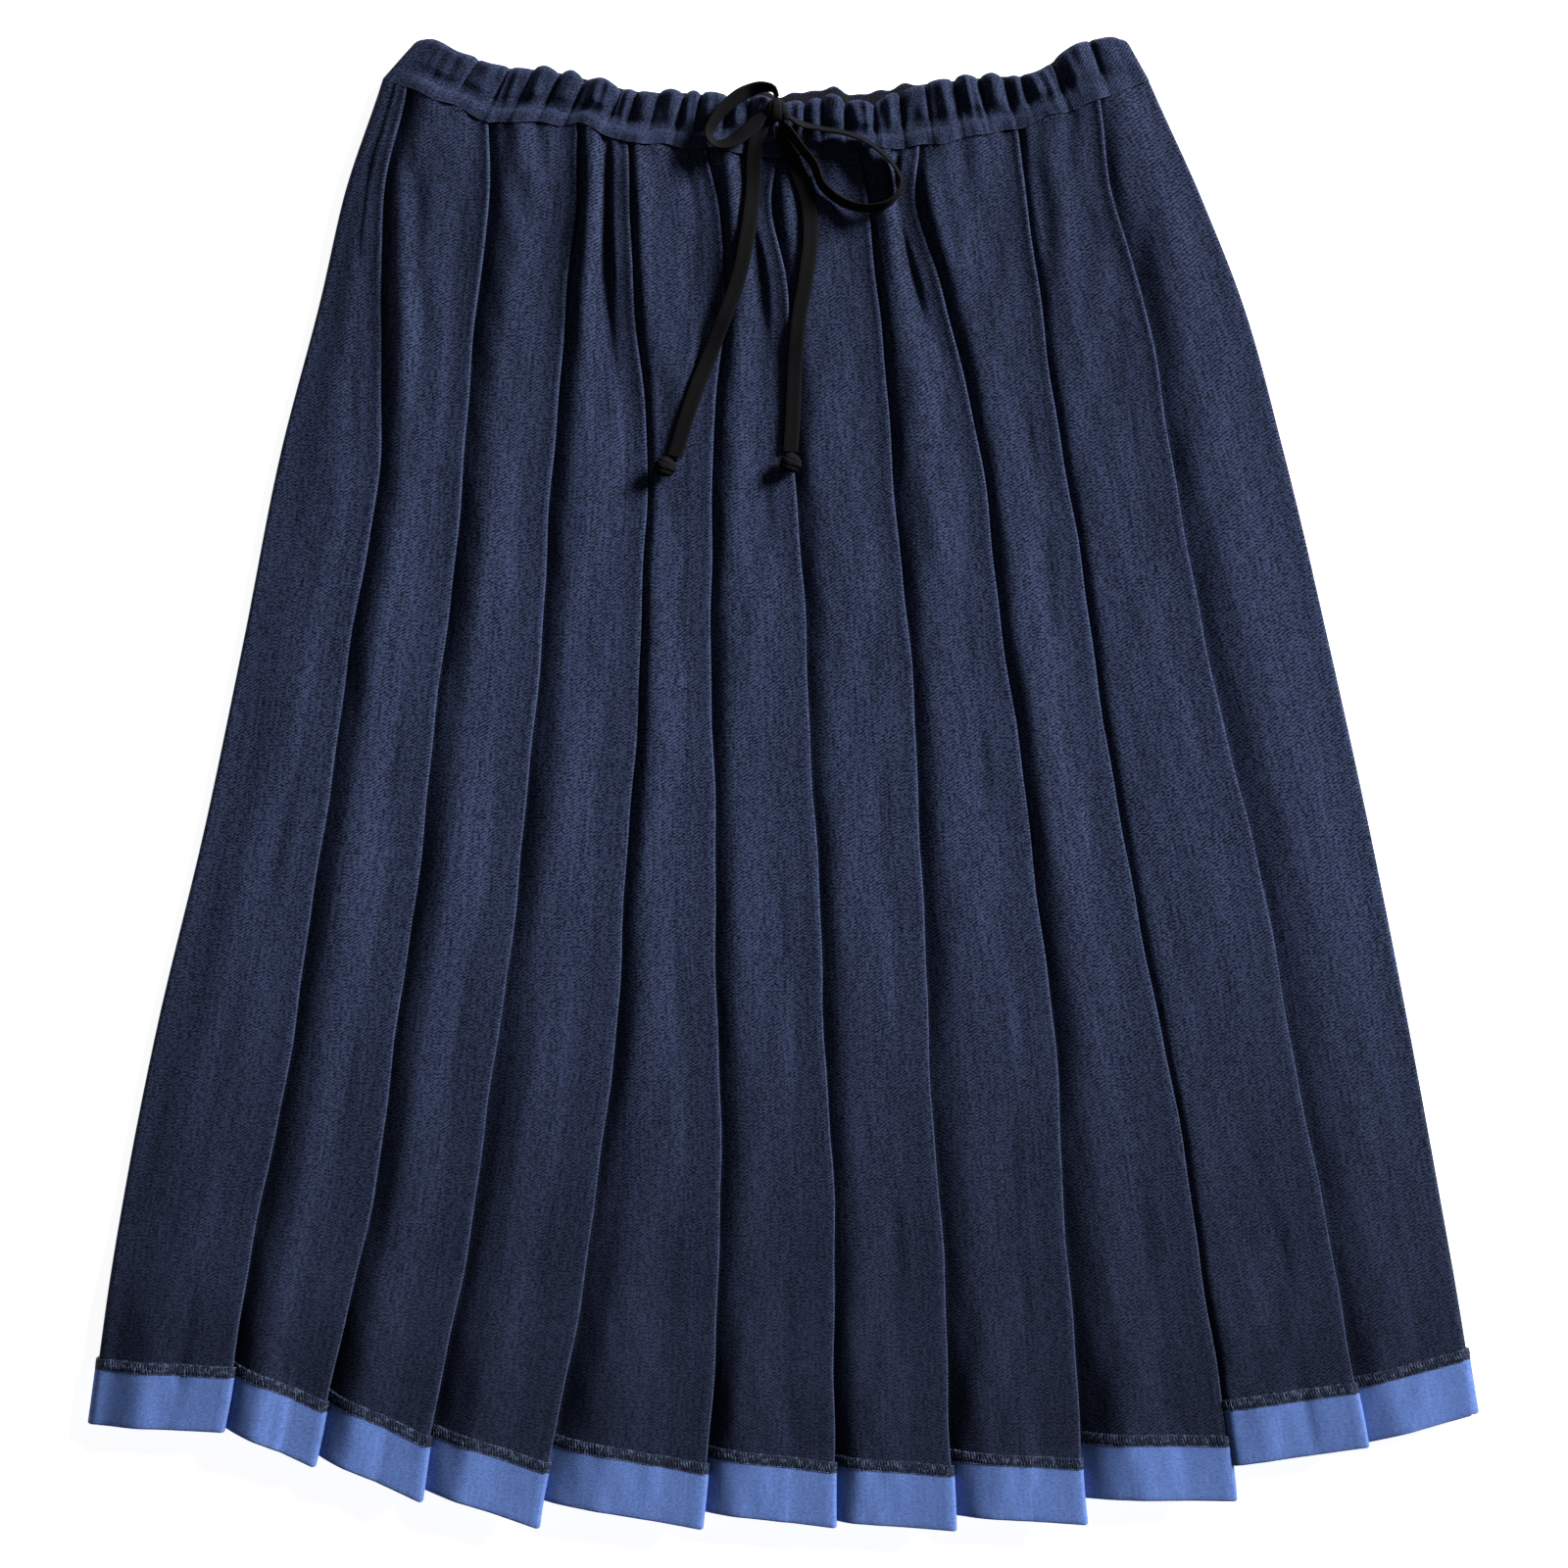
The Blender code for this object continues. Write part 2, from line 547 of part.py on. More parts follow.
def lay_tape(route, trees, knot_z=0.0):
    """Gives each place of a route the height at which the tape just clears what it lies on. A loop
    starts and ends at the height of its knot."""
    places = route_places(route)
    heights = []
    for index, (x, y, turned) in enumerate(places):
        before, after = places[max(index - 1, 0)], places[min(index + 1, len(places) - 1)]
        run = np.array([after[0] - before[0], after[1] - before[1]])
        side = np.array([-run[1], run[0]]) / np.linalg.norm(run)
        forward = run / np.linalg.norm(run)
        turn = math.radians(turned)
        reach = TAPE_WIDTH / 2 * math.cos(turn) + TAPE_THICK / 2
        under = 0.0
        for across in (-1.0, -0.5, 0.0, 0.5, 1.0):
            for ahead in (-TAPE_STEP / 2, 0.0, TAPE_STEP / 2):
                spot = np.array([x, y]) + side * reach * across + forward * ahead
                under = max(under, height_under(trees, *spot))
        half = TAPE_WIDTH / 2 * math.sin(turn) + TAPE_THICK / 2 * math.cos(turn)
        heights.append(under + GAP + half)
    near = [slice(max(i - 1, 0), i + 2) for i in range(len(heights))]
    raised = [max(heights[span]) for span in near]
    settled = [max(float(np.mean(raised[span])), own) for span, own in zip(near, heights)]
    settled[0] = max(settled[0], knot_z)
    settled[-1] = max(settled[-1], knot_z)
    return [(x, y, z, turned) for (x, y, turned), z in zip(places, settled)]


def add_tape(name, laid, pinched, material):
    """A flat tape swept along its laid places, six points round. pinched holds the ends, 0 and -1,
    that a knot squeezes."""
    outline = (
        (-TAPE_WIDTH / 2, 0.0), (-TAPE_WIDTH / 2 + TAPE_THICK / 2, -TAPE_THICK / 2),
        (TAPE_WIDTH / 2 - TAPE_THICK / 2, -TAPE_THICK / 2), (TAPE_WIDTH / 2, 0.0),
        (TAPE_WIDTH / 2 - TAPE_THICK / 2, TAPE_THICK / 2), (-TAPE_WIDTH / 2 + TAPE_THICK / 2, TAPE_THICK / 2),
    )
    centres = [Vector(place[:3]) for place in laid]
    vertices = []
    for index, place in enumerate(laid):
        forward = (centres[min(index + 1, len(laid) - 1)] - centres[max(index - 1, 0)]).normalized()
        side = forward.cross(Vector((0, 0, 1))).normalized()
        up = side.cross(forward).normalized()
        turn = math.radians(place[3])
        across = side * math.cos(turn) + up * math.sin(turn)
        through = up * math.cos(turn) - side * math.sin(turn)
        width = TAPE_PINCH if index in [end % len(laid) for end in pinched] else 1.0
        vertices += [tuple(centres[index] + across * a * width + through * b) for a, b in outline]
    around = len(outline)
    faces = []
    for i in range(len(laid) - 1):
        for j in range(around):
            k = (j + 1) % around
            faces.append((i * around + j, (i + 1) * around + j, (i + 1) * around + k, i * around + k))
    last = (len(laid) - 1) * around
    for j in range(1, around - 1):
        faces.append((0, j, j + 1))
        faces.append((last, last + j + 1, last + j))
    return add_object(name, vertices, faces, material)


def add_knot(name, centre, half, trees, material):
    """A rounded knot resting on what lies under it. Returns the height of its middle."""
    x, y = centre
    spots = [(x + half[0] * a, y + half[1] * b) for a in (-0.5, 0, 0.5) for b in (-0.5, 0, 0.5)]
    z = max(height_under(trees, *spot) for spot in spots) + GAP + half[2]
    vertices = [(x, y, z + half[2])]
    for stack in range(1, KNOT_STACKS):
        polar = math.pi * stack / KNOT_STACKS
        for part in range(KNOT_SLICES):
            turn = 2 * math.pi * part / KNOT_SLICES
            reach = math.sin(polar)
            vertices.append((
                x + half[0] * reach * math.cos(turn),
                y + half[1] * reach * math.sin(turn),
                z + half[2] * math.cos(polar),
            ))
    vertices.append((x, y, z - half[2]))
    faces = []
    for part in range(KNOT_SLICES):
        after = (part + 1) % KNOT_SLICES
        faces.append((0, 1 + part, 1 + after))
        for stack in range(KNOT_STACKS - 2):
            low, high = 1 + (stack + 1) * KNOT_SLICES, 1 + stack * KNOT_SLICES
            faces.append((high + part, low + part, low + after, high + after))
        base = 1 + (KNOT_STACKS - 2) * KNOT_SLICES
        faces.append((len(vertices) - 1, base + after, base + part))
    add_object(name, vertices, faces, material)
    return z


def tree_of(piece):
    return BVHTree.FromObject(piece, bpy.context.evaluated_depsgraph_get())


def turn_up_sections(section_of, rows):
    return [section_of(row) for row in rows if in_turn_up(row)]


def build():
    for piece in list(bpy.data.objects):
        bpy.data.objects.remove(piece, do_unlink=True)
    navy = fabric("navy_twill", NAVY)
    light = fabric("light_reverse", LIGHT_BLUE)
    black = fabric("drawstring", TAPE_BLACK)
    half = CLOTH / 2
    front_rows = [front_section(row) for row in FRONT_ROWS]
    front = add_wall("front_panel", front_rows, -half, half, navy, front_seam_y)
    back_rows = [back_section(row) for row in BACK_ROWS]
    add_wall("back_panel", back_rows, -half, half, navy, back_seam_y)
    on_top = (half + GAP, half + GAP + CLOTH)
    add_wall("hem_turnup_front", turn_up_sections(front_section, FRONT_ROWS), *on_top, light)
    add_wall("hem_turnup_back", turn_up_sections(back_section, BACK_ROWS), *on_top, light)
    band = add_waistband(navy)
    bpy.context.view_layer.update()
    cloth = [tree_of(front), tree_of(band)]
    left = add_tape("tail_left", lay_tape(TAIL_LEFT, cloth), (0,), black)
    right = add_tape("tail_right", lay_tape(TAIL_RIGHT, cloth), (0,), black)
    add_knot("tail_knot_left", END_KNOT_LEFT, END_KNOT_HALF, cloth, black)
    add_knot("tail_knot_right", END_KNOT_RIGHT, END_KNOT_HALF, cloth, black)
    knot_z = add_knot("bow_knot", KNOT_AT, KNOT_HALF, cloth, black)
    bpy.context.view_layer.update()
    under_loops = cloth + [tree_of(left), tree_of(right)]
    add_tape("bow_loop_left", lay_tape(LOOP_LEFT, under_loops, knot_z), (0, -1), black)
    add_tape("bow_loop_right", lay_tape(LOOP_RIGHT, under_loops, knot_z), (0, -1), black)


build()
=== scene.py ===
"""The looks of a pleated denim midi skirt that lies flat on its back, seen from straight above. Sizes are
in millimetres until a mesh is made. X runs across the skirt, Y from hem to waist, Z up from the floor."""

import math
from collections import namedtuple

import bpy
import numpy as np
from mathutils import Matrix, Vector
from mathutils.bvhtree import BVHTree


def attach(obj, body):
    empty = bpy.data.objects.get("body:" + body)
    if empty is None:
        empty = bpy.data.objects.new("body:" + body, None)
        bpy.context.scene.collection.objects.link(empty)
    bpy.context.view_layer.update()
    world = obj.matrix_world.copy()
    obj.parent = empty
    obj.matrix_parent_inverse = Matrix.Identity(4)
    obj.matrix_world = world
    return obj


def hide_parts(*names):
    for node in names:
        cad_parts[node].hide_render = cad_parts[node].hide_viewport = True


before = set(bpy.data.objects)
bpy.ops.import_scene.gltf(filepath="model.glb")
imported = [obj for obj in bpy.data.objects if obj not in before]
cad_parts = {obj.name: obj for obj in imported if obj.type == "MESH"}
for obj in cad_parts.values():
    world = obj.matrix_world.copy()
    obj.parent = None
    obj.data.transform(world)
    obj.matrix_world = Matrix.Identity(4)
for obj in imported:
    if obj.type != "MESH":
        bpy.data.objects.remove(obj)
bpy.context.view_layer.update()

MM = 0.001
UP = (0.0, 0.0, 1.0)
SHARP = 62  # degrees at which an edge is no longer smooth
BODY = "root"

# The camera looks straight down from where the picture is 768 mm wide at the cloth
LENS = 85.0
SENSOR = 36.0
VIEW_WIDTH = 768.0
CLOTH_PLANE = 8.0
FLOOR_HALF = 6.0  # metres
WHITE = (1.0, 1.0, 1.0)  # the world below the horizon
FILL = (0.072, 0.073, 0.075)  # and above it

# The cloth and how it is stacked, as in the solids, whose turn-up is 33.5 deep
CLOTH = 1.0
HALF = CLOTH / 2
GAP = 0.3
LAYER = CLOTH + GAP
TURNED = 2 * LAYER
TURN_UP = 30.7
HEM_RISE_STARTS = 110.0
HEM_RISE_ENDS = 48.0

# Pleats
FOLD_DEPTH_WAIST = 6.0
FOLD_DEPTH_HEM = 19.0
FOLD_DEPTH_SHARE = 0.32
FOLD_MARGIN = 1.5
SPRING_WAIST = 1.2  # how far a fold's edge stands up from the layer under it
SPRING_HEM = 0.45
TIP_SHARP = 0.6  # how far a fold's edge is pressed to less than a round bend
STEEP_START = 0.75  # how much of a climb is steepest right at the fold, where the rest starts gently
PUFF_WIDTH = 26.0
NARROW_PANEL = 15.0
NARROW_PANEL_FADE = 20.0
RISE_POINTS = 19
MEASURED_Y = (288, 240, 163, 72, -24, -120, -216)

# The sides and the folds of the front from left to right, as in the solids but for the hems, drawn up
# to 3.8 higher, and 1.5 lower at the right
Line = namedtuple("Line", "seam_x seam_y measured_x hem_x hem_y next_hem_y")
FRONT_LINES = tuple(map(Line._make, (
    (-197, 346, (-214.5, -225.5, -245.5, -263.5, -283.5, -306.5, -325), -338.5, -312.5, -312.5),
    (-184, 340.5, (-196.5, -197, -198, -211.5, -226, -240, -258), -274.5, -315.5, -313.3),
    (-144, 323.5, (-144, -150.5, -156, -166, -177, -189.5, -204), -230.5, -332.3, -326.8),
    (-101, 322.5, (-100.5, -106.5, -112.5, -119, -127.5, -139.5, -153.5), -178, -349.3, -343.7),
    (-77, 313.5, (-75.5, -73, -67.5, -70, -76, -82.5, -94), -120, -362.2, -349.2),
    (-38.5, 310.5, (-33.5, -29, -35, -35.5, -34, -32.5, -31), -40, -362.7, -354.6),
    (-3, 306, (-5.5, 1.5, 5, 10.5, 15.5, 20, 24.5), 24, -362.1, -359.1),
    (36, 311, (41, 46, 52.5, 61, 67, 70.5, 77), 83, -363.6, -356.5),
    (65.5, 311, (64, 78.5, 95.5, 107.5, 120.5, 132, 138), 147.5, -360.5, -348.1),
    (115.5, 321, (118, 125, 136.5, 151, 165.5, 185, 201.5), 220, -349.1, -332),
    (154.5, 334.5, (161.5, 175, 190, 205.5, 229, 247.5, 265.5), 284.5, -323, -321.5),
    (179.5, 345, (204, 223, 244.5, 266, 287, 306, 323.5), 338.5, -307.5, -307.5),
)))
LAST = len(FRONT_LINES) - 1

SIDE_OUT = (-1.7, 1.1)  # how far the sides stand out past the solids'
SIDE_OUT_EASE = 60.0
SIDE_LEFT, SIDE_RIGHT = FRONT_LINES[0], FRONT_LINES[-1]
BACK_FOLDS = (0.10, 0.185, 0.28, 0.365, 0.46, 0.545, 0.64, 0.725, 0.815, 0.905)
BACK_HEM_LIFT = 4.0

# How each front panel climbs on to its pleat: over which share of its width at the waist and at the
# hem, and how far it puffs up before it settles to its fold
Rise = namedtuple("Rise", "waist hem puff")
FRONT_RISES = tuple(map(Rise._make, (
    (0.8, 0.5, 0.3), (0.32, 0.54, 3.4), (0.42, 0.48, 3.2), (0.24, 0.56, 2.6), (0.16, 0.5, 2.6),
    (0.22, 0.38, 1.8), (0.3, 0.34, 1.5), (0.22, 0.44, 1.7), (0.2, 0.52, 2.3), (0.16, 0.06, 0.8),
    (0.3, 0.34, 3.2),
)))
BACK_RISE = Rise(0.36, 0.36, 0.0)

# Rows down a panel, as in the solids: share of the way down, and millimetres back up. Then how many
# finer rows lie in each gap between them.
HEM_ROWS = ((1, HEM_RISE_STARTS), (1, HEM_RISE_ENDS), (1, TURN_UP), (1, 0))
FRONT_ROWS = ((0, 0), (0.03, 0), (0.08, 0), (0.15, 0), (0.24, 0), (0.38, 0), (0.6, 0), *HEM_ROWS)
FRONT_FINER = (6, 9, 12, 12, 12, 10, 10, 9, 3, 5)
BACK_ROWS = ((0, 0), (0.1, 0), (0.25, 0), (0.45, 0), (0.65, 0), *HEM_ROWS)
BACK_FINER = (8, 8, 8, 8, 6, 7, 3, 5)

# Valleys pinched by the elastic: place along the seam, depth, and how far the ridge at its left leans
Valley = namedtuple("Valley", "x depth lean")
VALLEYS = tuple(map(Valley._make, (
    (-164.5, 0.5, 0.2), (-147.5, 0.8, -0.6), (-135, 0.7, 0.3), (-121, 0.9, 0.4), (-108, 1, 0.8),
    (-89, 0.8, 0.3), (-80, 0.9, -0.7), (-68, 0.5, 0.2), (-55, 0.9, 0.7), (-46, 0.8, 0.2), (-32, 0.7, 0.3),
    (-20, 0.8, -0.3), (-4, 0.6, 0.2), (9, 0.8, 0.8), (18, 0.7, 0.7), (30, 0.8, 0.9), (45, 0.7, 0.3),
    (59, 1, 1), (73, 0.6, -0.2), (87.5, 0.9, 0.5), (101, 0.8, -0.5), (114, 0.9, 0.6), (123, 0.7, 0.2),
    (140, 0.9, 0.6), (160, 0.6, -0.3),
)))
VALLEY_HALF = 3.4
VALLEY_SPREAD = 0.03
VALLEY_REACH = 34.0  # how far below the seam the valleys can still be told apart
PUFF_PANEL = 2.6
PUFF_REACH = 130.0
SIDE_CALM = 32.0
EDGE_CALM = 0.14

# Soft ridges and troughs of the front below the waist: from, to, height and half width
Swell = namedtuple("Swell", "x0 y0 x1 y1 height half")
SWELLS = tuple(map(Swell._make, (
    (-190, 318, -185, 160, 2, 4.8), (-181, 305, -175.5, 165, -1.5, 4.4), (-168, 250, -164, 90, 0.8, 7),
    (-130, 298, -127, 266, -1.3, 5.5), (-116, 210, -122, 120, 0.7, 9),
    (-92.6, 322, -100.5, 175, 3.6, 4.4), (-86, 312, -84.5, 205, -2.4, 4),
    (-73.5, 316, -69.5, 205, 3.8, 5.4), (-46, 310, -42, 275, -1.2, 6), (-28, 309, -19.5, 238, 2.5, 4.2),
    (-2.5, 308, 5.5, 205, 3.4, 5.4), (67, 308, 84, 222, 3.6, 5.4), (-60.5, 200, -62, 100, -2.6, 7.5),
    (-20, 252, -26, 100, 1.4, 5), (-10, 300, -5.5, 230, -1.1, 4.6), (20, 290, 26, 210, 0.8, 9),
    (35.5, 306, 41, 222, -1.4, 5), (47.5, 306, 57.5, 222, 2.8, 4.6), (57.5, 240, 86, 40, 1.8, 7.5),
    (56, 306, 71, 212, -2.2, 4.2), (79, 304, 92, 220, 1.4, 6.5), (124, 306, 131.5, 232, -1.2, 4.5),
    (132.5, 306, 142, 205, 1.6, 6.5), (168, 310, 183, 222, -1.2, 6), (186, 306, 204, 190, 1.4, 9),
    (-212, 54, -206, 24, -1.2, 4), (-163, 58, -157, 28, -1.2, 4), (-119, 36, -114, 6, -1.2, 4.5),
    (132, 90, 127, 58, -1, 5),
)))
SWELL_LEAD = 0.12
SWELL_RISE = 0.3
SWELL_FADE = 0.5

# Faint waves all over the front: height, then wavelengths across and down, then a shift
Wave = namedtuple("Wave", "height across down shift")
WAVES = tuple(map(Wave._make, (
    (0.34, 61, 190, 0.4), (0.26, -37, 118, 2.1), (0.20, 24, -83, 4.4), (0.14, 17, 47, 1.2),
    (0.10, -11.5, 64, 5.3),
)))

# The casing
TOP_LINE = (
    (-180, 364.5), (-173, 365.8), (-160.5, 359.5), (-139.5, 352.5), (-115.5, 350.5), (-97.5, 346.5),
    (-73, 340.5), (-45.5, 339.5), (-30, 337.8), (-14, 337.6), (1, 334), (21.5, 337), (40.5, 334),
    (55.5, 339.5), (82.5, 345.5), (102, 347.5), (126, 350.5), (137, 358.5), (152, 365.3), (165, 365.3),
    (168, 363),
)
BAND_HALF = 1.5
BAND_SLIT = 0.6
BAND_FRONT = 3 * BAND_HALF + BAND_SLIT
BAND_BACK = BAND_HALF
PUFF_BAND = 4.0
BAND_STRIP = 0.27  # the flat strip under the gathered channel, as a share of the height
SEAM_RUBBED = (0.5, 0.1)  # how worn the strip's lowest rows are
BAND_ROUND = 0.86  # where the channel starts to turn over at the top
RIDGE_WIDTH = 13.0  # at which a ridge between valleys stands at its full height
RIDGES_VARY = 0.35
SLIT_HALF = 1.1
BAND_STEP = 0.72
BAND_BACK_STEP = 2.0
SIDE_TURN = 22.5
BACK_TOP_RISE = 5.0
BACK_RISE_CENTRE = 24.0
BACK_RISE_HALF = 62.0
BACK_RISE_EASE = 44.0

# The drawstring tape: x, y and how far it is turned on its edge
TAPE_WIDTH = 7.8
TAPE_THICK = 1.3
TAPE_STEP = 2.0
TAPE_PINCH = 0.55  # its width where a knot squeezes it, as a share
PINCH_REACH = 6.0
LOOP_DROP = 0.8  # how far below the knot's height a loop may sink
LOOP_SETTLES = 7.0  # how far from the knot a loop comes down to what it lies on
GROOVE_HALF = 0.09
KNOT_AT = (-3.8, 329.0)
KNOT_HALF = (5.8, 5.8, 3.8)
END_KNOT_HALF = (5.6, 5.0, 3.6)
# Grooves between a knot's turns: the way that each faces, its place and its depth
BOW_TURNS = ((5, 0.5, 0.12), (-8, -0.45, 0.12), (88, 0.1, 0.05))
END_TURNS = ((62, 0.35, 0.1), (70, -0.3, 0.12), (-20, 0.1, 0.05))
TAIL_LEFT = (
    (-8.6, 324.2, 0), (-12.2, 318.5, 0), (-14.2, 311, 0), (-15.2, 290, 0), (-18.2, 267, 5),
    (-22.5, 247, 5), (-32.8, 219.5, 0), (-45.5, 186.5, 0), (-53.6, 160.5, 0),
)
TAIL_RIGHT = (
    (-2.4, 322.1, 0), (1, 312.5, 0), (6, 300.5, 0), (11.2, 286.5, 0), (12.8, 271.5, 5), (10.6, 248, 5),
    (7.2, 228, 0), (5.3, 207.5, 0), (3.8, 175, 0), (3, 162.8, 0),
)
LOOP_LEFT = (
    (-3.4, 335.4, 70), (-4.8, 339.4, 75), (-10.4, 340.6, 60), (-18.2, 338.2, 45), (-27.4, 331.6, 45),
    (-34, 323.6, 55), (-36.8, 316.8, 62), (-33.6, 312.4, 58), (-26, 313, 40), (-18.6, 318, 22),
    (-13, 323.4, 12), (-9.9, 326.9, 8),
)
LOOP_RIGHT = (
    (2.7, 325.2, 62), (9, 321.8, 62), (16.3, 320.2, 66), (30.7, 317.3, 68), (40.8, 313, 70),
    (49.4, 306.4, 72), (55, 299.6, 76), (57.4, 293.2, 80), (55.4, 287.4, 80), (50.4, 282.8, 76),
    (42.7, 280.8, 72), (35, 281.6, 68), (25.9, 285.6, 66), (18.4, 292.6, 66), (14.4, 302.4, 66),
    (8.2, 310.2, 66), (3.2, 317.2, 66), (-0.4, 322.4, 66),
)
END_KNOT_LEFT = (-58.2, 154.9)
END_KNOT_RIGHT = (3.2, 156.8)

# Noises of the twill: size across and along the grain, seed, detail and roughness. They are its columns
# and wobble, the patches where it is rubbed, then its yarns, short and long streaks, and broad ones.
TWILL_NOISES = (
    (0.9, 26, 1, 1, 0.55), (2.6, 3.4, 2, 2, 0.55), (3, 9, 30, 2, 0.55), (1.6, 1.15, 5, 1, 0.5),
    (1.3, 6, 17, 2, 0.6), (1.6, 48, 9, 3, 0.6), (5, 190, 14, 3, 0.55),
)
SHORT_SHARE = 0.6  # the short streaks' strength, as a share of the yarns'
WAIST_SHADE_SHARE = 0.4  # how deep the waist's painted shade of the gathers is, as a share of the hem's painted shade
TAPE_RIB = 0.62
TAPE_PICK = 0.8

# The overlock stitch along the turn-up's raw edge
STITCH = 1.45
OVERLOCK_HEIGHT = 5.0
THREAD = 0.17  # radius
THREAD_PROUD = 0.12
# One stitch's turns: along it, which of its shifts moves it, below the raw edge, and off the cloth. Below
# 0 it is a share of how far the stitch reaches past the edge.
STITCH_TURNS = (
    (0.1, 0, OVERLOCK_HEIGHT - 0.4, 0.0), (0.3, 1, 2.7, 0.12), (0.5, 2, 0.4, 0.12), (0.65, 2, -1.0, -0.3),
    (0.85, 2, 0.3, 0.15), (1.1, 3, 2.6, 0.12),
)
NEEDLE_STEP = 0.6
CHAIN_STEP = 0.5

# Rows of the turned-up cloth: height above the hem's fold, and how far thread stands off it. Then the
# degrees of its turn round the hem.
TURN_UP_ROWS = (
    (TURN_UP, 0.12), (TURN_UP - 2.0, 0.15), (TURN_UP - OVERLOCK_HEIGHT, 0.0), (22.0, 0.0), (15.0, 0.0),
    (7.0, 0.0), (2.0, 0.0), (0.0, 0.0),
)
HEM_TURNS = (25, 50, 75, 100, 125, 150, 180)
RAY_FROM = 100.0


def smooth(value):
    value = np.clip(value, 0.0, 1.0)
    return value * value * (3 - 2 * value)


def mix(first, second, share):
    return first + (second - first) * share


def unit(vectors):
    return vectors / np.linalg.norm(vectors, axis=-1, keepdims=True)


def run_along(places):
    """How far along its line each place lies."""
    return np.concatenate([[0.0], np.cumsum(np.linalg.norm(np.diff(places, axis=0), axis=1))])


def cos_sin(degrees):
    return math.cos(math.radians(degrees)), math.sin(math.radians(degrees))


def smooth_curve(knots, values, at):
    """Reads a smooth curve through the values at one or more places; the knots rise."""
    knots, values = np.asarray(knots, float), np.asarray(values, float)
    slopes = np.gradient(values, knots)
    index = np.clip(np.searchsorted(knots, at, side="right") - 1, 0, len(knots) - 2)
    span = knots[index + 1] - knots[index]
    part = np.clip((at - knots[index]) / span, 0.0, 1.0)
    rest = 1 - part
    held = (1 + 2 * part) * rest * rest * values[index]
    reached = part * part * (3 - 2 * part) * values[index + 1]
    bent = part * rest * rest * slopes[index] - part * part * rest * slopes[index + 1]
    return held + reached + span * bent


def wander(k, y):
    """A pressed fold is never quite straight."""
    return 0.6 * np.sin(y / 23.0 + 1.7 * k) + 0.28 * np.sin(y / 9.1 + 2.9 * k)


def line_x(k, y):
    line = FRONT_LINES[k]
    knots = [-line.seam_y, *(-measured for measured in MEASURED_Y), -line.hem_y]
    x = smooth_curve(knots, [line.seam_x, *line.measured_x, line.hem_x], -y)
    if 0 < k < LAST:
        return x + wander(k, y)
    return x + SIDE_OUT[k == LAST] * smooth((line.seam_y - y) / SIDE_OUT_EASE)


def row_y(seam_y, hem_y, row):
    share, back_up = row
    return mix(seam_y, hem_y, share) + back_up


def own_share(row):
    """0 where the rows are level across a pleat's layers, 1 where they follow each panel's own hem."""
    share, back_up = row
    return float(share == 1) * float(np.clip((HEM_RISE_ENDS - back_up) / (HEM_RISE_ENDS - TURN_UP), 0, 1))


def parted_share(row):
    """0 above the hem, 1 where the turned-up cloth lies in the pleats."""
    share, back_up = row
    return float(share == 1) * smooth((HEM_RISE_STARTS - back_up) / (HEM_RISE_STARTS - HEM_RISE_ENDS))


def down_share(row):
    share, back_up = row
    return share - back_up / (SIDE_LEFT.seam_y - SIDE_LEFT.hem_y)


def finer(rows, counts):
    """The part's rows with more rows between them."""
    fine = []
    for row, after, count in zip(rows, rows[1:], counts):
        fine += [(mix(row[0], after[0], i / count), mix(row[1], after[1], i / count)) for i in range(count)]
    return fine + [rows[-1]]


def front_places(row):
    """For each line of the front at a row: where the upper panel ends, and where the next begins."""
    own = own_share(row)
    over, under = [], []
    for k, line in enumerate(FRONT_LINES):
        for places, hem_y in ((over, mix(line.next_hem_y, line.hem_y, own)), (under, line.next_hem_y)):
            y = row_y(line.seam_y, hem_y, row)
            places.append((float(line_x(k, y)), y))
    return np.array(over), np.array(under)


def front_seam_y(x):
    """The seam under the casing, drawn up and down a little by the gathers."""
    seam = np.interp(x, [line.seam_x for line in FRONT_LINES], [line.seam_y for line in FRONT_LINES])
    inside = np.minimum(x - SIDE_LEFT.seam_x, SIDE_RIGHT.seam_x - x) / SIDE_CALM
    return seam + (0.6 * np.sin(x / 3.3) + 0.5 * np.sin(x / 5.1 + 1.3)) * smooth(inside)


def front_hem_y(x):
    return np.interp(x, [line.hem_x for line in FRONT_LINES], [line.next_hem_y for line in FRONT_LINES])


def back_seam_x(share):
    return mix(SIDE_RIGHT.seam_x, SIDE_LEFT.seam_x, share)


def back_seam_y(x):
    knots = sorted(back_seam_x(share) for share in (0.0, *BACK_FOLDS, 1.0))
    return np.interp(x, knots, [front_seam_y(knot) for knot in knots])


def back_places(row):
    places = []
    sides = [float(line_x(k, row_y(FRONT_LINES[k].seam_y, FRONT_LINES[k].hem_y, row))) for k in (LAST, 0)]
    for share in (0.0, *BACK_FOLDS, 1.0):
        lift = BACK_HEM_LIFT * own_share(row) * (0 < share < 1)
        hem_y = front_hem_y(mix(SIDE_RIGHT.hem_x, SIDE_LEFT.hem_x, share)) + lift
        places.append((-mix(*sides, share), row_y(front_seam_y(back_seam_x(share)), hem_y, row)))
    return np.array(places), np.array(places)


VALLEY_X, VALLEY_DEPTH, _ = np.array(VALLEYS).T


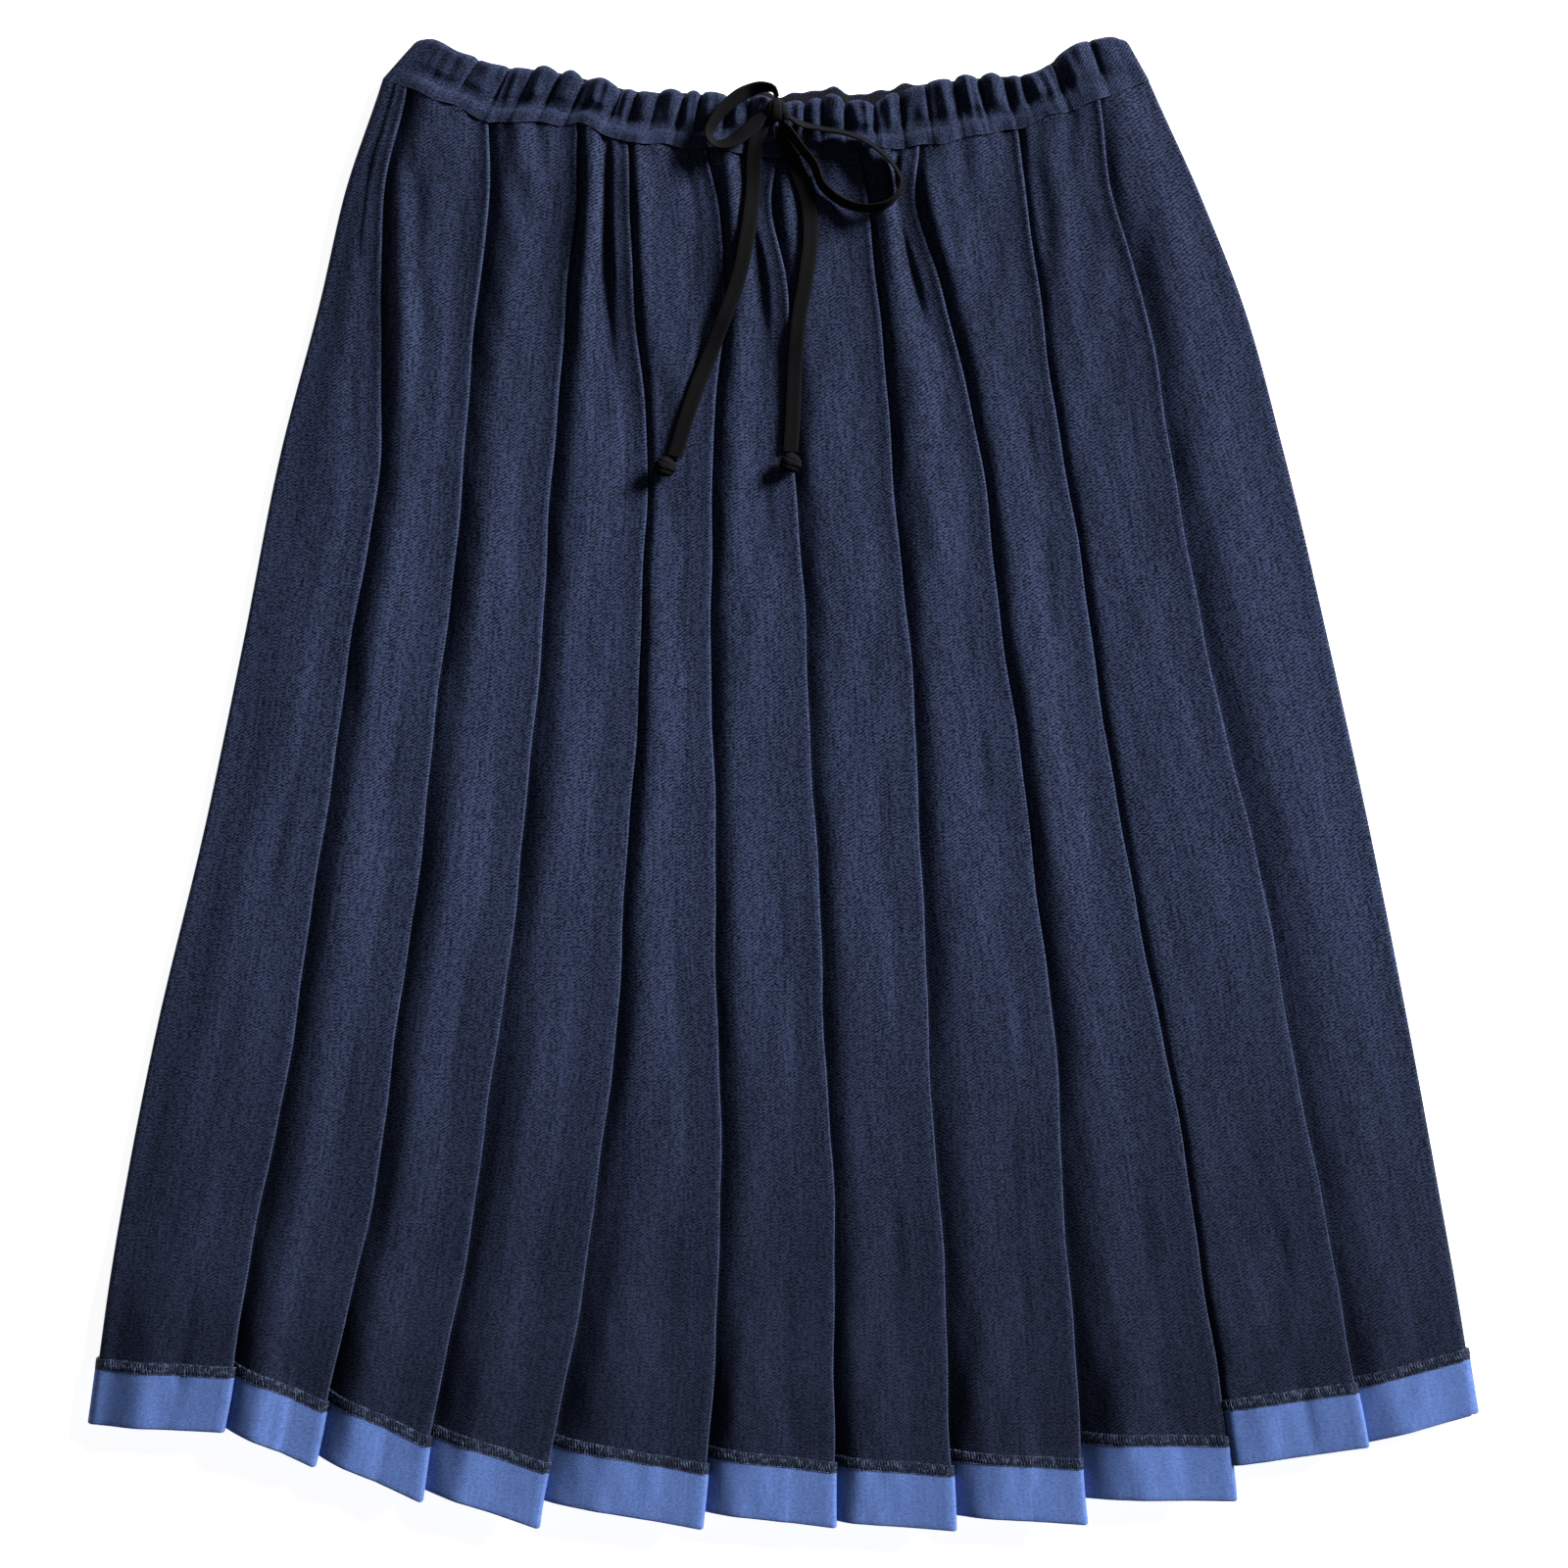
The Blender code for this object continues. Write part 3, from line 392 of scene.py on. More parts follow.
def front_lift(x, y):
    """How far the gathers, ridges, troughs and faint waves raise the front."""
    x, y = np.asarray(x, float), np.asarray(y, float)
    below = front_seam_y(x) - y
    half = VALLEY_HALF + VALLEY_SPREAD * below
    away = (x[..., None] - VALLEY_X) / half[..., None]
    pinch = (VALLEY_DEPTH * np.exp(-away * away)).max(-1) * (1 - smooth(below / VALLEY_REACH))
    lift = PUFF_PANEL * (1 - smooth(below / PUFF_REACH)) * (1 - 0.75 * pinch)
    for swell in SWELLS:
        along = (swell.y0 - y) / (swell.y0 - swell.y1)
        fading = (along - 1 + SWELL_FADE) / SWELL_FADE
        ends = smooth((along + SWELL_LEAD) / SWELL_RISE) * (1 - smooth(fading))
        off = (x - mix(swell.x0, swell.x1, np.clip(along, 0, 1))) / swell.half
        lift = lift + swell.height * ends * np.exp(-off * off)
    for wave in WAVES:
        lift = lift + wave.height * np.sin(2 * math.pi * (x / wave.across + y / wave.down) + wave.shift)
    left, right = line_x(0, y), line_x(LAST, y)
    return lift * smooth(np.minimum(x - left, right - x) / SIDE_CALM)


# Columns of a section: place, height, the grain across, and how sharply the cloth is creased
X, Y, H, GRAIN, CREASE = range(5)


def pleated_section(places, row, side_levels, side_radii, rises, lift):
    """The cloth's middle line across one row, from its outer side, and each panel's visible columns."""
    over, under = places
    own = own_share(row)
    gap = LAYER + TURNED * parted_share(row)
    top = gap + LAYER
    spring = mix(SPRING_WAIST, SPRING_HEM, smooth(down_share(row) * 2))
    inner, tip_bend = gap / 2, (LAYER + spring) / 2
    last = len(over) - 1
    nominal = mix(FOLD_DEPTH_WAIST, FOLD_DEPTH_HEM, down_share(row))
    widths = over[1:, 0] - under[:-1, 0]
    depths = [0.0, *np.minimum(nominal, FOLD_DEPTH_SHARE * widths)]
    lifts = lift(over[:, 0], over[:, 1])
    strips = []
    spans = []

    def strip(k, x, y, h, crease=0.0):
        x = np.atleast_1d(np.asarray(x, float))
        grain = 100.0 * k + x - over[k][0]
        strips.append(np.stack(np.broadcast_arrays(x, y, h, grain, crease), axis=-1))

    def row_line(k, x):
        """The row's height along panel k, and on under the fold at its left."""
        (x0, y0), (x1, y1) = under[k - 1], over[k]
        return mix(np.interp(x, over[:, 0], over[:, 1]), y0 + (y1 - y0) * (x - x0) / (x1 - x0), own)

    for k in range(1, last + 1):
        x0, x1 = under[k - 1][0], over[k][0]
        level0 = side_levels[0] if k == 1 else 0.0
        level1 = side_levels[1] if k == last else top
        if k == 1:
            radius = side_radii[0]
            start = x0 + HALF + radius
            angle = np.linspace(math.pi, math.pi / 2, 6)
            strip(k, start + radius * np.cos(angle), under[0][1], level0 - radius + radius * np.sin(angle))
        else:
            start = x0
            x = np.linspace(x0 - depths[k - 1] + HALF + inner, x0, 3)[1:]
            strip(k, x, row_line(k, x), lifts[k - 1])
        first = sum(map(len, strips)) - 1
        if k == last:
            radius = side_radii[1]
            end = x1 - HALF - radius
        else:
            end = min(x1, under[k][0]) - depths[k] - FOLD_MARGIN
        share = np.linspace(0, 1, RISE_POINTS + 1)[1:]
        x = mix(start, end, share)
        y = row_line(k, x)
        calm = smooth(np.minimum(share, 1 - share) / EDGE_CALM)
        raised = mix(mix(lifts[k - 1], lifts[k], share), lift(x, y), calm)
        rise = rises[(k - 1) % len(rises)]
        climb = mix(rise.waist, rise.hem, down_share(row))
        left_over = 1 - np.clip(share / climb, 0, 1)
        up = mix(smooth(share / climb), 1 - left_over**2.4, STEEP_START * (k > 1))
        settle = smooth((share - climb * 0.9) / (1 - climb * 0.9))
        puff = rise.puff * smooth((end - start) / PUFF_WIDTH) * (up - settle)
        strip(k, x, y, mix(level0, level1, up) + puff + raised)
        if k == last:
            angle = np.linspace(math.pi / 2, 0, 6)[1:]
            strip(k, end + radius * np.cos(angle), over[k][1], level1 - radius + radius * np.sin(angle))
            spans.append((first, sum(map(len, strips)) - 1))
            continue
        tip = x1 - HALF - tip_bend * TIP_SHARP
        share = np.linspace(0, 1, 7)[1:]
        x = mix(end, tip, share)
        strip(k, x, mix(row_line(k, end), over[k][1], share), top + lifts[k] + spring * share**3)
        angle = np.linspace(math.pi / 2, -math.pi / 2, 8)[1:]
        h = top + spring - tip_bend + lifts[k] + tip_bend * np.sin(angle)
        crease = np.clip(np.cos(angle) * (angle > -0.3), 0, 1)
        strip(k, tip + tip_bend * TIP_SHARP * np.cos(angle), over[k][1], h, crease)
        spans.append((first, sum(map(len, strips)) - 5))
        turn = under[k][0] - depths[k] + HALF + inner
        turn_y = row_line(k + 1, turn)
        share = np.linspace(0, 1, 4)[1:]
        strip(k, mix(tip, turn, share), mix(over[k][1], turn_y, share), gap + lifts[k])
        angle = np.linspace(math.pi / 2, 3 * math.pi / 2, 5)[1:]
        strip(k + 1, turn + inner * np.cos(angle), turn_y, inner + inner * np.sin(angle) + lifts[k])
    return np.concatenate(strips), spans


def stack_of(row):
    """Heights of the front's innermost layer and of the back's, and of the back's outermost."""
    parted = parted_share(row)
    back_outer = HALF + LAYER * parted
    back_inner = back_outer + 2 * LAYER + TURNED * parted
    return back_inner + LAYER, back_inner, back_outer


def side_start_level(places, row):
    top = 2 * LAYER + TURNED * parted_share(row)
    width = places[0][1][0] - places[0][0][0]
    return top * (1 - smooth((width - NARROW_PANEL) / NARROW_PANEL_FADE))


def normals_of(section):
    steps = unit(np.diff(section[:, [X, H]], axis=0))
    tangents = unit(np.vstack([steps[:1], steps[:-1] + steps[1:], steps[-1:]]))
    return np.stack([-tangents[:, 1], tangents[:, 0]], axis=1)


def front_section(row):
    places = front_places(row)
    base, _, back_outer = stack_of(row)
    levels = (side_start_level(places, row), 0.0)
    radii = tuple((base + level - back_outer) / 2 for level in levels)
    section, spans = pleated_section(places, row, levels, radii, FRONT_RISES, front_lift)
    normals = normals_of(section)
    section[:, H] += base
    return section, normals, spans


def back_section(row):
    """Worked out from its own outer side, then turned over about the skirt's middle."""
    base, back_inner, back_outer = stack_of(row)
    top = back_inner - back_outer
    start_level = side_start_level(front_places(row), row)
    radii = ((base - back_outer) / 2, (base + start_level - back_outer) / 2)

    def flat(x, y):
        return np.zeros_like(x)

    section, spans = pleated_section(back_places(row), row, (top, top), radii, (BACK_RISE,), flat)
    normals = -normals_of(section)
    section[:, X] *= -1
    section[:, H] = back_inner - section[:, H]
    return section, normals, spans


def offset(section, normals, distance, drop=0.0):
    """Places off a section's middle line."""
    return np.stack([
        section[:, X] + normals[:, 0] * distance,
        section[:, Y] - drop,
        section[:, H] + normals[:, 1] * distance,
    ], axis=1)


def link(piece):
    bpy.context.scene.collection.objects.link(piece)
    return piece


def add_mesh(name, vertices, faces, uvs, materials, slots=None, crease=None):
    """A piece from vertices in millimetres. uvs holds the cloth's own millimetres for each vertex."""
    mesh = bpy.data.meshes.new(name)
    mesh.from_pydata((np.asarray(vertices) * MM).tolist(), [], faces)
    for material in materials:
        mesh.materials.append(material)
    if slots is not None:
        mesh.polygons.foreach_set("material_index", np.asarray(slots, np.int32))
    corners = np.empty(len(mesh.loops), np.int32)
    mesh.loops.foreach_get("vertex_index", corners)
    layer = mesh.uv_layers.new(name="cloth")
    layer.uv.foreach_set("vector", np.asarray(uvs, np.float32)[corners].ravel())
    creased = mesh.attributes.new("crease", "FLOAT", "POINT")
    creased.data.foreach_set("value", np.zeros(len(vertices), np.float32) if crease is None else crease)
    mesh.shade_smooth()
    mesh.set_sharp_from_angle(angle=math.radians(SHARP))
    return link(bpy.data.objects.new(name, mesh))


def ring_faces(index):
    """Faces between rings of vertices; each row of index numbers one ring's."""
    after = np.roll(index, -1, axis=1)
    return np.stack([index[:-1], index[1:], after[1:], after[:-1]], axis=-1).reshape(-1, 4).tolist()


def add_wall(name, outside, inside, uvs, materials, row_slots, crease=None):
    """A closed wall between two grids of places. Its inner face wears the second material, and row_slots
    holds the outer face's material for each gap between rows."""
    rows, columns = outside.shape[:2]
    index = np.arange(rows * columns).reshape(rows, columns)
    inner = index + rows * columns
    a, b, c, d = index[:-1, :-1], index[1:, :-1], index[1:, 1:], index[:-1, 1:]
    outer_faces = np.stack([a, b, c, d], axis=-1).reshape(-1, 4)
    inner_faces = outer_faces[:, ::-1] + rows * columns
    left, right = (index[:, 0], inner[:, 0]), (inner[:, -1], index[:, -1])
    top, bottom = (inner[0], index[0]), (index[-1], inner[-1])
    edges = [np.stack([b[:-1], b[1:], a[1:], a[:-1]], axis=-1) for a, b in (left, right, top, bottom)]
    faces = np.concatenate([outer_faces, inner_faces, *edges])
    slots = np.concatenate([
        np.repeat(row_slots, columns - 1),
        np.ones(len(inner_faces)),
        np.tile(row_slots, 2),
        np.full(columns - 1, row_slots[0]),
        np.full(columns - 1, row_slots[-1]),
    ])
    vertices = np.concatenate([outside.reshape(-1, 3), inside.reshape(-1, 3)])
    both = np.concatenate([uvs.reshape(-1, 2)] * 2)
    creased = None if crease is None else np.concatenate([crease.ravel()] * 2)
    return add_mesh(name, vertices, faces.tolist(), both, materials, slots, creased)


def add_panel(name, sections, seam_y, materials):
    """The cloth of the front or the back. Its top row follows the seam."""
    outside = np.array([offset(s, n, HALF) for s, n, _ in sections])
    inside = np.array([offset(s, n, -HALF) for s, n, _ in sections])
    for grid in (outside, inside):
        grid[0, :, 1] = seam_y(grid[0, :, 0])
    uvs = np.array([s[:, [GRAIN, Y]] for s, _, _ in sections])
    crease = np.array([s[:, CREASE] for s, _, _ in sections])
    return add_wall(name, outside, inside, uvs, materials, np.zeros(len(sections) - 1), crease)


def add_turn_up(name, section_of, light, thread):
    """The turned-up cloth, from its raw edge down and round the hem's fold. Thread covers its top."""
    middle = LAYER / 2
    outside, inside, uvs, crease = [], [], [], []
    rows = [(*row, 0) for row in TURN_UP_ROWS] + [(0.0, 0.0, turn) for turn in HEM_TURNS]
    for height, cover, degrees in rows:
        section, normals, _ = section_of((1, height))
        lean, drop = cos_sin(degrees)
        for side, distance in ((outside, middle + HALF), (inside, middle - HALF)):
            proud = cover if side is outside else 0.0
            side.append(offset(section, normals, middle + distance * lean + proud, distance * drop))
        uvs.append(section[:, [GRAIN, Y]] - [0, degrees / 90])
        crease.append(section[:, CREASE])
    slots = [cover > 0 for _, cover, _ in rows[:-1]]
    grids = (np.array(outside), np.array(inside), np.array(uvs))
    return add_wall(name, *grids, (light, thread), np.array(slots), np.array(crease))


def sweep_tubes(name, paths, radius, material, sides=5):
    """Round threads along many paths, as one mesh."""
    vertices, faces, uvs = [], [], []
    ring = (np.arange(sides) * 2 * math.pi / sides)[:, None]
    count = 0
    for path in paths:
        path = np.asarray(path, float)
        tangent = unit(np.gradient(path, axis=0))
        side = np.cross(tangent, UP)
        side /= np.maximum(np.linalg.norm(side, axis=1, keepdims=True), 1e-6)
        up = np.cross(side, tangent)
        rings = path[:, None] + radius * (side[:, None] * np.cos(ring) + up[:, None] * np.sin(ring))
        total = len(path)
        index = count + np.arange(total * sides).reshape(total, sides)
        faces += [*ring_faces(index[:, ::-1]), index[0][::-1].tolist(), index[-1].tolist()]
        vertices.append(rings.reshape(-1, 3))
        along = np.arange(total) * 0.8
        uvs.append(np.stack([np.tile(ring[:, 0], total), np.repeat(along, sides)], axis=1))
        count += total * sides
    return add_mesh(name, np.concatenate(vertices), faces, np.concatenate(uvs), [material])


def overlock_paths(section_of, seed):
    """Threads that zigzag over the raw edge, the needle's line below them and a chain along it."""
    random = np.random.default_rng(seed)
    edge, edge_normals, spans = section_of((1, TURN_UP))
    low, low_normals, _ = section_of((1, TURN_UP - OVERLOCK_HEIGHT))
    surface = LAYER + HALF + THREAD_PROUD
    paths = []

    def place(columns, below, proud):
        """Places on the turn-up, at distances below its raw edge and off its surface."""
        share = below / OVERLOCK_HEIGHT
        whole = np.arange(len(edge))
        found = []
        for section, normals in ((edge, edge_normals), (low, low_normals)):
            line = [np.interp(columns, whole, section[:, c]) for c in (X, Y, H)]
            off = [np.interp(columns, whole, normals[:, c]) * (surface + proud) for c in (0, 1)]
            found.append(np.stack([line[0] + off[0], line[1], line[2] + off[1]], axis=-1))
        return mix(found[0], found[1], share[:, None])

    for first, last in spans:
        columns = np.arange(first, last + 1)
        along = run_along(edge[columns][:, [X, Y, H]])
        turns = []
        for stitch in range(int(along[-1] / STITCH)):
            out = 0.5 + 0.5 * random.random()
            shift = random.normal(0, 0.12, 4)
            for ahead, which, below, proud in STITCH_TURNS:
                reach = out if below < 0 else 1.0
                turns.append((stitch * STITCH + ahead + shift[which], below * reach, proud))
        turns = np.array(turns)
        where = np.interp(turns[:, 0], along, columns)
        paths.append(place(where, turns[:, 1], turns[:, 2]))
        needle = np.arange(0.0, along[-1], NEEDLE_STEP)
        sway = OVERLOCK_HEIGHT - 0.1 + 0.15 * np.sin(needle * 2 * math.pi / STITCH)
        dip = 0.12 * np.sin(needle * 2 * math.pi / STITCH + 1.0)
        paths.append(place(np.interp(needle, along, columns), sway, dip))
        chain = np.arange(0.0, along[-1], CHAIN_STEP)
        rough = -0.2 + 0.35 * np.sin(chain * 2 * math.pi / STITCH) + random.normal(0, 0.12, len(chain))
        paths.append(place(np.interp(chain, along, columns), rough, 0.1 + 0 * chain))
    return paths


def gathers(x):
    """The casing's ridge at a place: its height and lean, and how near a valley's slit is."""
    sides = [(side.seam_x, 0, 0) for side in (SIDE_LEFT, SIDE_RIGHT)]
    knots, depths, leans = np.array([sides[0], *VALLEYS, sides[1]]).T
    index = np.clip(np.searchsorted(knots, x, side="right") - 1, 0, len(knots) - 2)
    width = knots[index + 1] - knots[index]
    part = np.clip((x - knots[index]) / width, 0, 1)
    arc = (1 - np.abs(2 * part - 1) ** 1.7) ** 0.9
    floor = 1 - mix(depths[index], depths[index + 1], part)
    ridge = floor + (1 - floor) * arc
    ridge = ridge * np.clip(width / RIDGE_WIDTH, 0.6, 1.2) * (1 + RIDGES_VARY * math.sin(5.1 * index))
    lean = mix(leans[index], leans[index + 1], part) * arc
    slit = (VALLEY_DEPTH * np.exp(-(((x - VALLEY_X) / SLIT_HALF) ** 2))).max()
    return ridge, lean, slit


def crumple(x, across):
    """Small creases of the gathered channel, none quite like another."""
    folds = np.sin(x / 1.25 + 2.6 * np.sin(x / 7.3) + 3.1 * across)
    folds = folds + 0.8 * np.sin(x / 2.1 - 4.4 * across + 2.1 * np.sin(x / 11.0 + 1.0))
    return folds + 0.5 * np.sin(x / 4.6 + 9.0 * across + 1.5 * np.sin(x / 5.2))


def band_top(x):
    """The casing's top for a station at x along the seam."""
    share = (x - SIDE_LEFT.seam_x) / (SIDE_RIGHT.seam_x - SIDE_LEFT.seam_x)
    top_x = mix(TOP_LINE[0][0], TOP_LINE[-1][0], share)
    knots, values = zip(*TOP_LINE)
    return top_x, smooth_curve(knots, values, top_x)


def seam_heights(sections):
    """The front cloth's highest face along the seam, eased, for the casing's strip to lie on."""
    section, normals, _ = sections[0]
    places = offset(section, normals, HALF)
    at = np.arange(SIDE_LEFT.seam_x, SIDE_RIGHT.seam_x + 1, 1.0)
    near = [places[np.abs(places[:, 0] - x) < 2.5][:, 2] for x in at]
    heights = np.array([found.max() if len(found) else 0.0 for found in near])
    eased = np.convolve(np.pad(heights, 2, mode="edge"), np.ones(5) / 5, mode="valid")
    return at, eased


def add_casing(sections, cloth, dark):
    """The casing as one flattened ring: along the front, round the right side, back, round the left."""
    left, right = SIDE_LEFT.seam_x, SIDE_RIGHT.seam_x
    across = np.array([0.0, 0.05, 0.12, 0.2, 0.24, BAND_STRIP, 0.31, 0.36, *np.linspace(0.42, 1.0, 14)])
    cap = np.sqrt(np.clip(1 - ((across - BAND_ROUND) / (1 - BAND_ROUND)).clip(0) ** 2, 0, 1))
    channel = smooth((across - BAND_STRIP) / 0.26)
    groove = np.exp(-((across - BAND_STRIP) / 0.035) ** 2)
    strip = 1 - smooth((across - 0.1) / (BAND_STRIP + 0.1))
    inner_across = np.array([0.97, 0.75, 0.4, 0.0])
    inner_cap = np.array([0.45, 1.0, 1.0, 1.0])
    seam_at, seam_high = seam_heights(sections)
    radius = (BAND_FRONT - BAND_BACK) / 2
    middle = (BAND_FRONT + BAND_BACK) / 2
    rings, grains = [], []

    def add_ring(x, shift, level, lean, relief=0.0, rise=0.0, tilt=0.0, seam_y=front_seam_y):
        top_x, top_y = band_top(x)
        outer = (BAND_HALF + relief) * cap
        heights = np.concatenate([outer, -BAND_HALF * inner_cap])
        share = np.concatenate([across, inner_across])
        tilts = np.concatenate([tilt * channel * cap, np.zeros(len(inner_across))])
        out = shift + lean[0] * heights + tilts
        y = mix(seam_y(x + out) + GAP, top_y + rise, share)
        rings.append(np.stack([mix(x, top_x, share) + out, y, level + lean[1] * heights], axis=1))
        grains.append(np.stack([np.full(len(share), grain), y], axis=1))

    edge = BAND_HALF + radius
    grain = 0.0
    for x in np.arange(left + edge, right - edge, BAND_STEP):
        calm = smooth(min(x - left, right - x) / SIDE_CALM)
        ridge, lean, slit = gathers(x)
        own = ridge * calm
        wrinkle = (0.55 * crumple(x, across) - 1.6 * slit) * mix(0.3, 1.0, channel) * calm
        settle = np.interp(x, seam_at, seam_high) - BAND_FRONT - BAND_HALF
        low = max(settle, 0.0) * smooth(min(x - left - edge, right - edge - x) / 12.0)
        relief = (low + 0.4 * calm) * strip + PUFF_BAND * own * channel - 0.7 * groove * calm + wrinkle
        ruffle = ((own - 0.55) * 2.4 - 1.2 * slit + 0.4 * math.sin(x / 2.7)) * calm
        grain += BAND_STEP * (1.3 + 0.5 * calm)
        add_ring(x, 0.0, BAND_FRONT, (0, 1), relief, ruffle, lean * 2.0 * calm)

    def add_side(x, turns):
        nonlocal grain
        for degrees in turns:
            grain += edge * math.radians(SIDE_TURN)
            lean = cos_sin(degrees)
            add_ring(x, radius * lean[0], middle + radius * lean[1], lean)

    add_side(right - edge, (90, 68, 45, 22, 0, -22, -45, -68, -90))
    for x in np.arange(right - edge, left + edge, -BAND_BACK_STEP):
        rise = BACK_TOP_RISE * smooth((BACK_RISE_HALF - abs(x - BACK_RISE_CENTRE)) / BACK_RISE_EASE)
        grain += 1.5 * BAND_BACK_STEP
        pucker = 0.8 * math.sin(x / 3.1) + 0.6 * math.sin(x / 1.9 + 1)
        add_ring(x, 0.0, BAND_BACK, (0, -1), rise=rise + pucker * (rise > 1), seam_y=back_seam_y)
    add_side(left + edge, (-90, -112, -135, -158, -180, -202, -225, -248, -270))

    around, count = len(rings), len(rings[0])
    index = np.arange(around * count).reshape(around, count)
    after = np.roll(index, -1, axis=0)
    faces = np.stack([index, after, np.roll(after, -1, axis=1), np.roll(index, -1, axis=1)], axis=-1)
    slots = np.zeros((around, count))
    # The inner faces wear the second, near-black material: painted shade inside the casing
    slots[:, len(across) :] = 1
    rubbed = np.zeros((around, count), np.float32)
    rubbed[:, :2] = SEAM_RUBBED
    return add_mesh(
        "casing", np.concatenate(rings), faces.reshape(-1, 4).tolist(), np.concatenate(grains),
        [cloth, dark], slots.ravel(), rubbed.ravel(),
    )


def tree_of(piece):
    return BVHTree.FromObject(piece, bpy.context.evaluated_depsgraph_get())


def height_under(trees, x, y):
    """The top of what lies under a place, in millimetres."""
    best = 0.0
    for tree in trees:
        hit = tree.ray_cast(Vector((x, y, RAY_FROM)) * MM, Vector((0, 0, -1)))[0]
        if hit is not None:
            best = max(best, hit.z / MM)
    return best


def lay_tape(route, trees, knot_z=0.0):
    """Evenly spaced places along a route, each as high as the tape needs to clear what it lies on."""
    points = np.array(route, float)
    along = run_along(points[:, :2])
    at = np.linspace(0.0, along[-1], max(int(round(along[-1] / TAPE_STEP)), 2) + 1)
    places = np.stack([smooth_curve(along, points[:, column], at) for column in range(3)], axis=1)
    run = unit(np.gradient(places[:, :2], axis=0))
    turn = np.radians(places[:, 2])
    heights = []
    for (x, y, _), (dx, dy), tilt in zip(places, run, turn):
        reach = TAPE_WIDTH / 2 * math.cos(tilt) + TAPE_THICK / 2
        asides = reach * np.linspace(-1, 1, 5)
        under = max(height_under(trees, x - dy * aside, y + dx * aside) for aside in asides)
        heights.append(under + GAP + TAPE_WIDTH / 2 * math.sin(tilt) + TAPE_THICK / 2 * math.cos(tilt))
    near = [slice(max(i - 3, 0), i + 4) for i in range(len(heights))]
    raised = np.array([max(heights[span]) for span in near])
    settled = np.maximum([raised[span].mean() for span in near], heights)
    share = np.minimum(np.arange(len(at)), np.arange(len(at))[::-1]) * TAPE_STEP / LOOP_SETTLES
    if knot_z:
        settled = np.maximum(settled, mix(knot_z, settled, smooth(share)))
        settled = np.maximum(settled, knot_z - LOOP_DROP)
    return np.stack([places[:, 0], places[:, 1], settled, turn], axis=1)


def tape_outline():
    """Round the tape: a flat weave with full edges and a faint hollow down the middle."""
    half, thick = TAPE_WIDTH / 2, TAPE_THICK / 2
    flat = np.array([-0.8, -0.4, 0.0, 0.4, 0.8]) * half
    hollow = thick * np.array([1.0, 0.86, 0.8, 0.86, 1.0])
    right = [(half * 0.95, thick * 0.7), (half, 0.0), (half * 0.95, -thick * 0.7)]
    upper = list(zip(flat, hollow))
    lower = [(a, -b) for a, b in upper[::-1]]
    left = [(-a, -b) for a, b in right]
    return np.array(lower[::-1] + right[::-1] + upper[::-1] + left[::-1])


def add_tape(name, laid, pinched, material):
    """The tape swept along its laid places. pinched holds the ends, 0 and -1, that a knot squeezes."""
    outline = tape_outline()
    centres = laid[:, :3]
    forward = unit(np.gradient(centres, axis=0))
    side = unit(np.cross(forward, UP))
    up = np.cross(side, forward)
    turn = laid[:, 3:]
    across = side * np.cos(turn) + up * np.sin(turn)
    through = up * np.cos(turn) - side * np.sin(turn)
    steps = np.arange(len(laid))
    width = np.ones(len(laid))
    for end in pinched:
        away = steps if end == 0 else steps[::-1]
        width = np.minimum(width, mix(TAPE_PINCH, 1.0, smooth(away * TAPE_STEP / PINCH_REACH)))
    rings = centres[:, None] + across[:, None] * (outline[:, 0] * width[:, None])[..., None]
    rings = rings + through[:, None] * outline[None, :, 1, None]
    total, around = rings.shape[:2]
    index = np.arange(total * around).reshape(total, around)
    faces = [*ring_faces(index), index[0].tolist(), index[-1][::-1].tolist()]
    uvs = np.stack([np.tile(outline[:, 0], total), np.repeat(steps * TAPE_STEP, around)], axis=1)
    return add_mesh(name, rings.reshape(-1, 3), faces, uvs, [material])


def add_knot(name, centre, half, trees, turns, material):
    """A knot pulled tight: a rounded lump with grooves between the tape's turns."""
    x, y = centre
    spots = [(x + half[0] * a, y + half[1] * b) for a in (-0.5, 0, 0.5) for b in (-0.5, 0, 0.5)]
    z = max(height_under(trees, *spot) for spot in spots) + GAP + half[2]
    stacks, slices = 40, 64
    polar = np.linspace(0, math.pi, stacks + 1)[1:-1]
    round_about = np.arange(slices) * 2 * math.pi / slices
    p, r = np.meshgrid(polar, round_about, indexing="ij")
    way = np.stack([np.sin(p) * np.cos(r), np.sin(p) * np.sin(r), np.cos(p)], axis=-1)
    lump = 1.0 + 0.05 * np.sin(3 * r + 2 * p) * np.sin(p)
    for turned, offset_by, depth in turns:
        flat = way[..., :2] @ cos_sin(turned) - offset_by
        lump = lump - depth * np.exp(-(flat / GROOVE_HALF) ** 2)
    places = way * lump[..., None] * np.array(half) + [x, y, z]
    poles = np.array([[x, y, z + half[2] * 0.96], [x, y, z - half[2] * 0.96]])
    index = np.arange(places.shape[0] * slices).reshape(-1, slices)
    pole = index.size
    faces = ring_faces(index)
    faces += [[pole, a, b] for a, b in zip(index[0], np.roll(index[0], -1))]
    faces += [[pole + 1, b, a] for a, b in zip(index[-1], np.roll(index[-1], -1))]
    uvs = np.concatenate([np.stack([r * half[0], p * half[0]], axis=-1).reshape(-1, 2), np.zeros((2, 2))])
    return add_mesh(name, np.concatenate([places.reshape(-1, 3), poles]), faces, uvs, [material]), z


